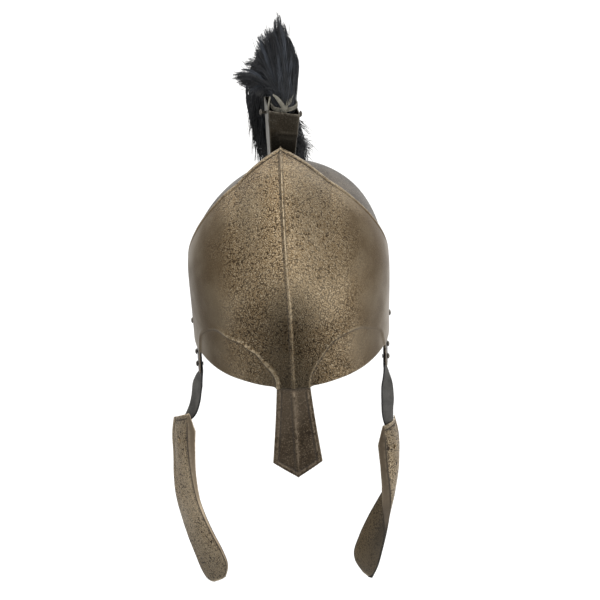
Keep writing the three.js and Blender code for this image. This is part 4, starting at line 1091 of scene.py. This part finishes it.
def binding():
    """Cord wound round the root, a hide strip and loose cord ends that stand out of the socket in a V."""
    t = np.linspace(0, 1, 150)
    angle = t * CORD["turns"] * 2 * math.pi
    path = np.stack([CORD["x"] + CORD["ring"] * np.cos(angle), CORD["y"] + CORD["ring"] * np.sin(angle),
                     CORD["foot"] + CORD["rise"] * t], -1)
    parts = [tube(path, np.full(len(t), CORD["radius"]))]
    u = np.linspace(0, 1, 26)
    hide = spline([(2.2, 23.6, 233), (1.6, 22.4, 240), (-1.2, 22.0, 246.5), (-5.2, 24, 251.5), (-8.6, 28, 253.0)])
    parts.append(tube(hide(u), mix(2.2, 3.0, np.sin(u * 3.1)) - 0.9 * u, 12, 0.3, (0.3, 1, 0.2)))
    for k, (end_x, end_z) in enumerate([(8.5, 249.5), (10.2, 247.6), (6.6, 248.6), (11.6, 251.5)]):
        cord = spline([(1.5 + 0.8 * k, 22.8 + 0.3 * k, 234), (2.2 + 0.9 * k, 22.2, 241.5),
                       (end_x - 2, 23.2 + k, end_z - 3), (end_x, 26 + k, end_z)])
        parts.append(tube(cord(u), mix(0.5, 0.22, u), 7))
    prong = spline([(-13.6, 24, 232), (-13.9, 24.2, 239), (-12.9, 25, 247), (-11.6, 26.5, 252)])
    parts.append(tube(prong(u), mix(1.2, 0.8, u), 10, 0.5, (0.3, 1, 0.1)))
    piece("plume_lashing", join(*parts), cord_pale, "cord", "plume_binding")


bowl()
brow_plate()
nasal()
for cheek_side in AWAY:
    cheek_plate(cheek_side)
    strap(cheek_side)
crest_holder()
rivets()
plume()
binding()


# ---- Studio: the tent wall's brightness against how far round from the front it is ----
WALL_LEVELS = [(0.0, 0.16), (0.13, 0.32), (0.30, 1.18), (0.42, 0.90), (0.56, 0.46), (0.70, 0.44), (0.84, 0.72),
               (1.0, 0.72)]
FLOOR = {"below": 0.25, "half_size": 12.0, "count": 24}
SOFTBOX = {"at": Vector((-0.5, -0.3, 2.2)), "aim": Vector((0, 0, -0.1)), "size": 1.8, "watts": 15}


def studio():
    scene = bpy.context.scene
    scene.view_settings.view_transform = "Standard"
    mesh = bpy.data.meshes.new("studio_floor")
    step = np.linspace(-FLOOR["half_size"], FLOOR["half_size"], FLOOR["count"])
    x, y = grid(step, step)
    points = np.stack([x, y, np.full_like(x, cad_low.z - FLOOR["below"])], -1).reshape(-1, 3)
    mesh.from_pydata(points.tolist(), [], grid_faces(FLOOR["count"], FLOOR["count"]))
    floor = placed("studio_floor", mesh)
    paper, tree = shader("studio_paper", Roughness=0.9, Specular_IOR_Level=0.1)
    tone = blend(cloud(place_on(tree), 3.0, 2.0), (0.93, 0.93, 0.93), (0.96, 0.96, 0.96))
    feed(tree.nodes["Principled BSDF"].inputs["Base Color"], tone)
    floor.data.materials.append(paper)
    floor.visible_glossy = False

    world = bpy.data.worlds.new("studio_tent")
    scene.world = world
    world.use_nodes = True
    tree = world.node_tree
    tree.nodes.clear()
    parts = tree.nodes.new("ShaderNodeSeparateXYZ")
    feed(parts.inputs["Vector"], make(tree, "ShaderNodeTexCoord", "Generated"))
    aside, ahead, up = map(Wire, parts.outputs)
    # how far round from the front a direction is, 0 to 1, and what the tent's wall gives there
    round_way = maths("DIVIDE", maths("ABSOLUTE", maths("ARCTAN2", aside, ahead * -1.0)), math.pi)
    wall = make(tree, "ShaderNodeValToRGB", "Color", {"Fac": round_way})
    ramp = wall.socket.node.color_ramp
    ramp.interpolation = "EASE"
    while len(ramp.elements) < len(WALL_LEVELS):
        ramp.elements.new(0.5)
    for element, (position, level) in zip(ramp.elements, WALL_LEVELS):
        element.position, element.color = position, (level, level, level, 1)
    side_level = wall * band(aside, -0.6, 0.6, 0.84, 1.28)
    over = band(maths("ABSOLUTE", aside), 0.42, 0.86, 1.45, 0.46) * band(aside, -0.6, 0.6, 0.96, 1.1)
    level = between(band(up, -0.28, 0.48), side_level, over)
    shade = make(tree, "ShaderNodeBackground", 0, {"Color": (1.0, 0.995, 0.985, 1.0), "Strength": level})
    feed(tree.nodes.new("ShaderNodeOutputWorld").inputs["Surface"], shade)

    light = bpy.data.lights.new("overhead_softbox", "AREA")
    light.shape = "RECTANGLE"
    light.size = light.size_y = SOFTBOX["size"]
    light.energy = SOFTBOX["watts"]
    softbox = placed("overhead_softbox", light)
    softbox.location = SOFTBOX["at"]
    softbox.rotation_euler = (SOFTBOX["aim"] - SOFTBOX["at"]).to_track_quat("-Z", "Y").to_euler()


# ---- Camera: thirty degrees above the horizon, straight on, rolled a little ----
CAMERA = {"pitch": math.radians(30.0), "roll": math.radians(2.3), "distance": 2.2, "field": 0.627, "sensor": 0.036,
          "right": 8.88, "up": 28.2}


def camera():
    back = Vector((0, -math.cos(CAMERA["pitch"]), math.sin(CAMERA["pitch"])))
    right = Vector((1, 0, 0))
    up = right.cross(-back)
    c, s = math.cos(CAMERA["roll"]), math.sin(CAMERA["roll"])
    right, up = c * right - s * up, s * right + c * up
    aim = (right * CAMERA["right"] + up * CAMERA["up"] - Vector((0, 0, HEAD_SEAT))) * MM
    lens = bpy.data.cameras.new("studio_camera")
    lens.sensor_width = CAMERA["sensor"] * 1000
    lens.lens = lens.sensor_width * CAMERA["distance"] / CAMERA["field"]
    lens.clip_start, lens.clip_end = 0.1, 60
    made = placed("studio_camera", lens)
    turn = Matrix((right, up, back)).transposed().to_4x4()
    made.matrix_world = Matrix.Translation(aim + back * CAMERA["distance"]) @ turn
    bpy.context.scene.camera = made


studio()
camera()
bpy.context.view_layer.update()
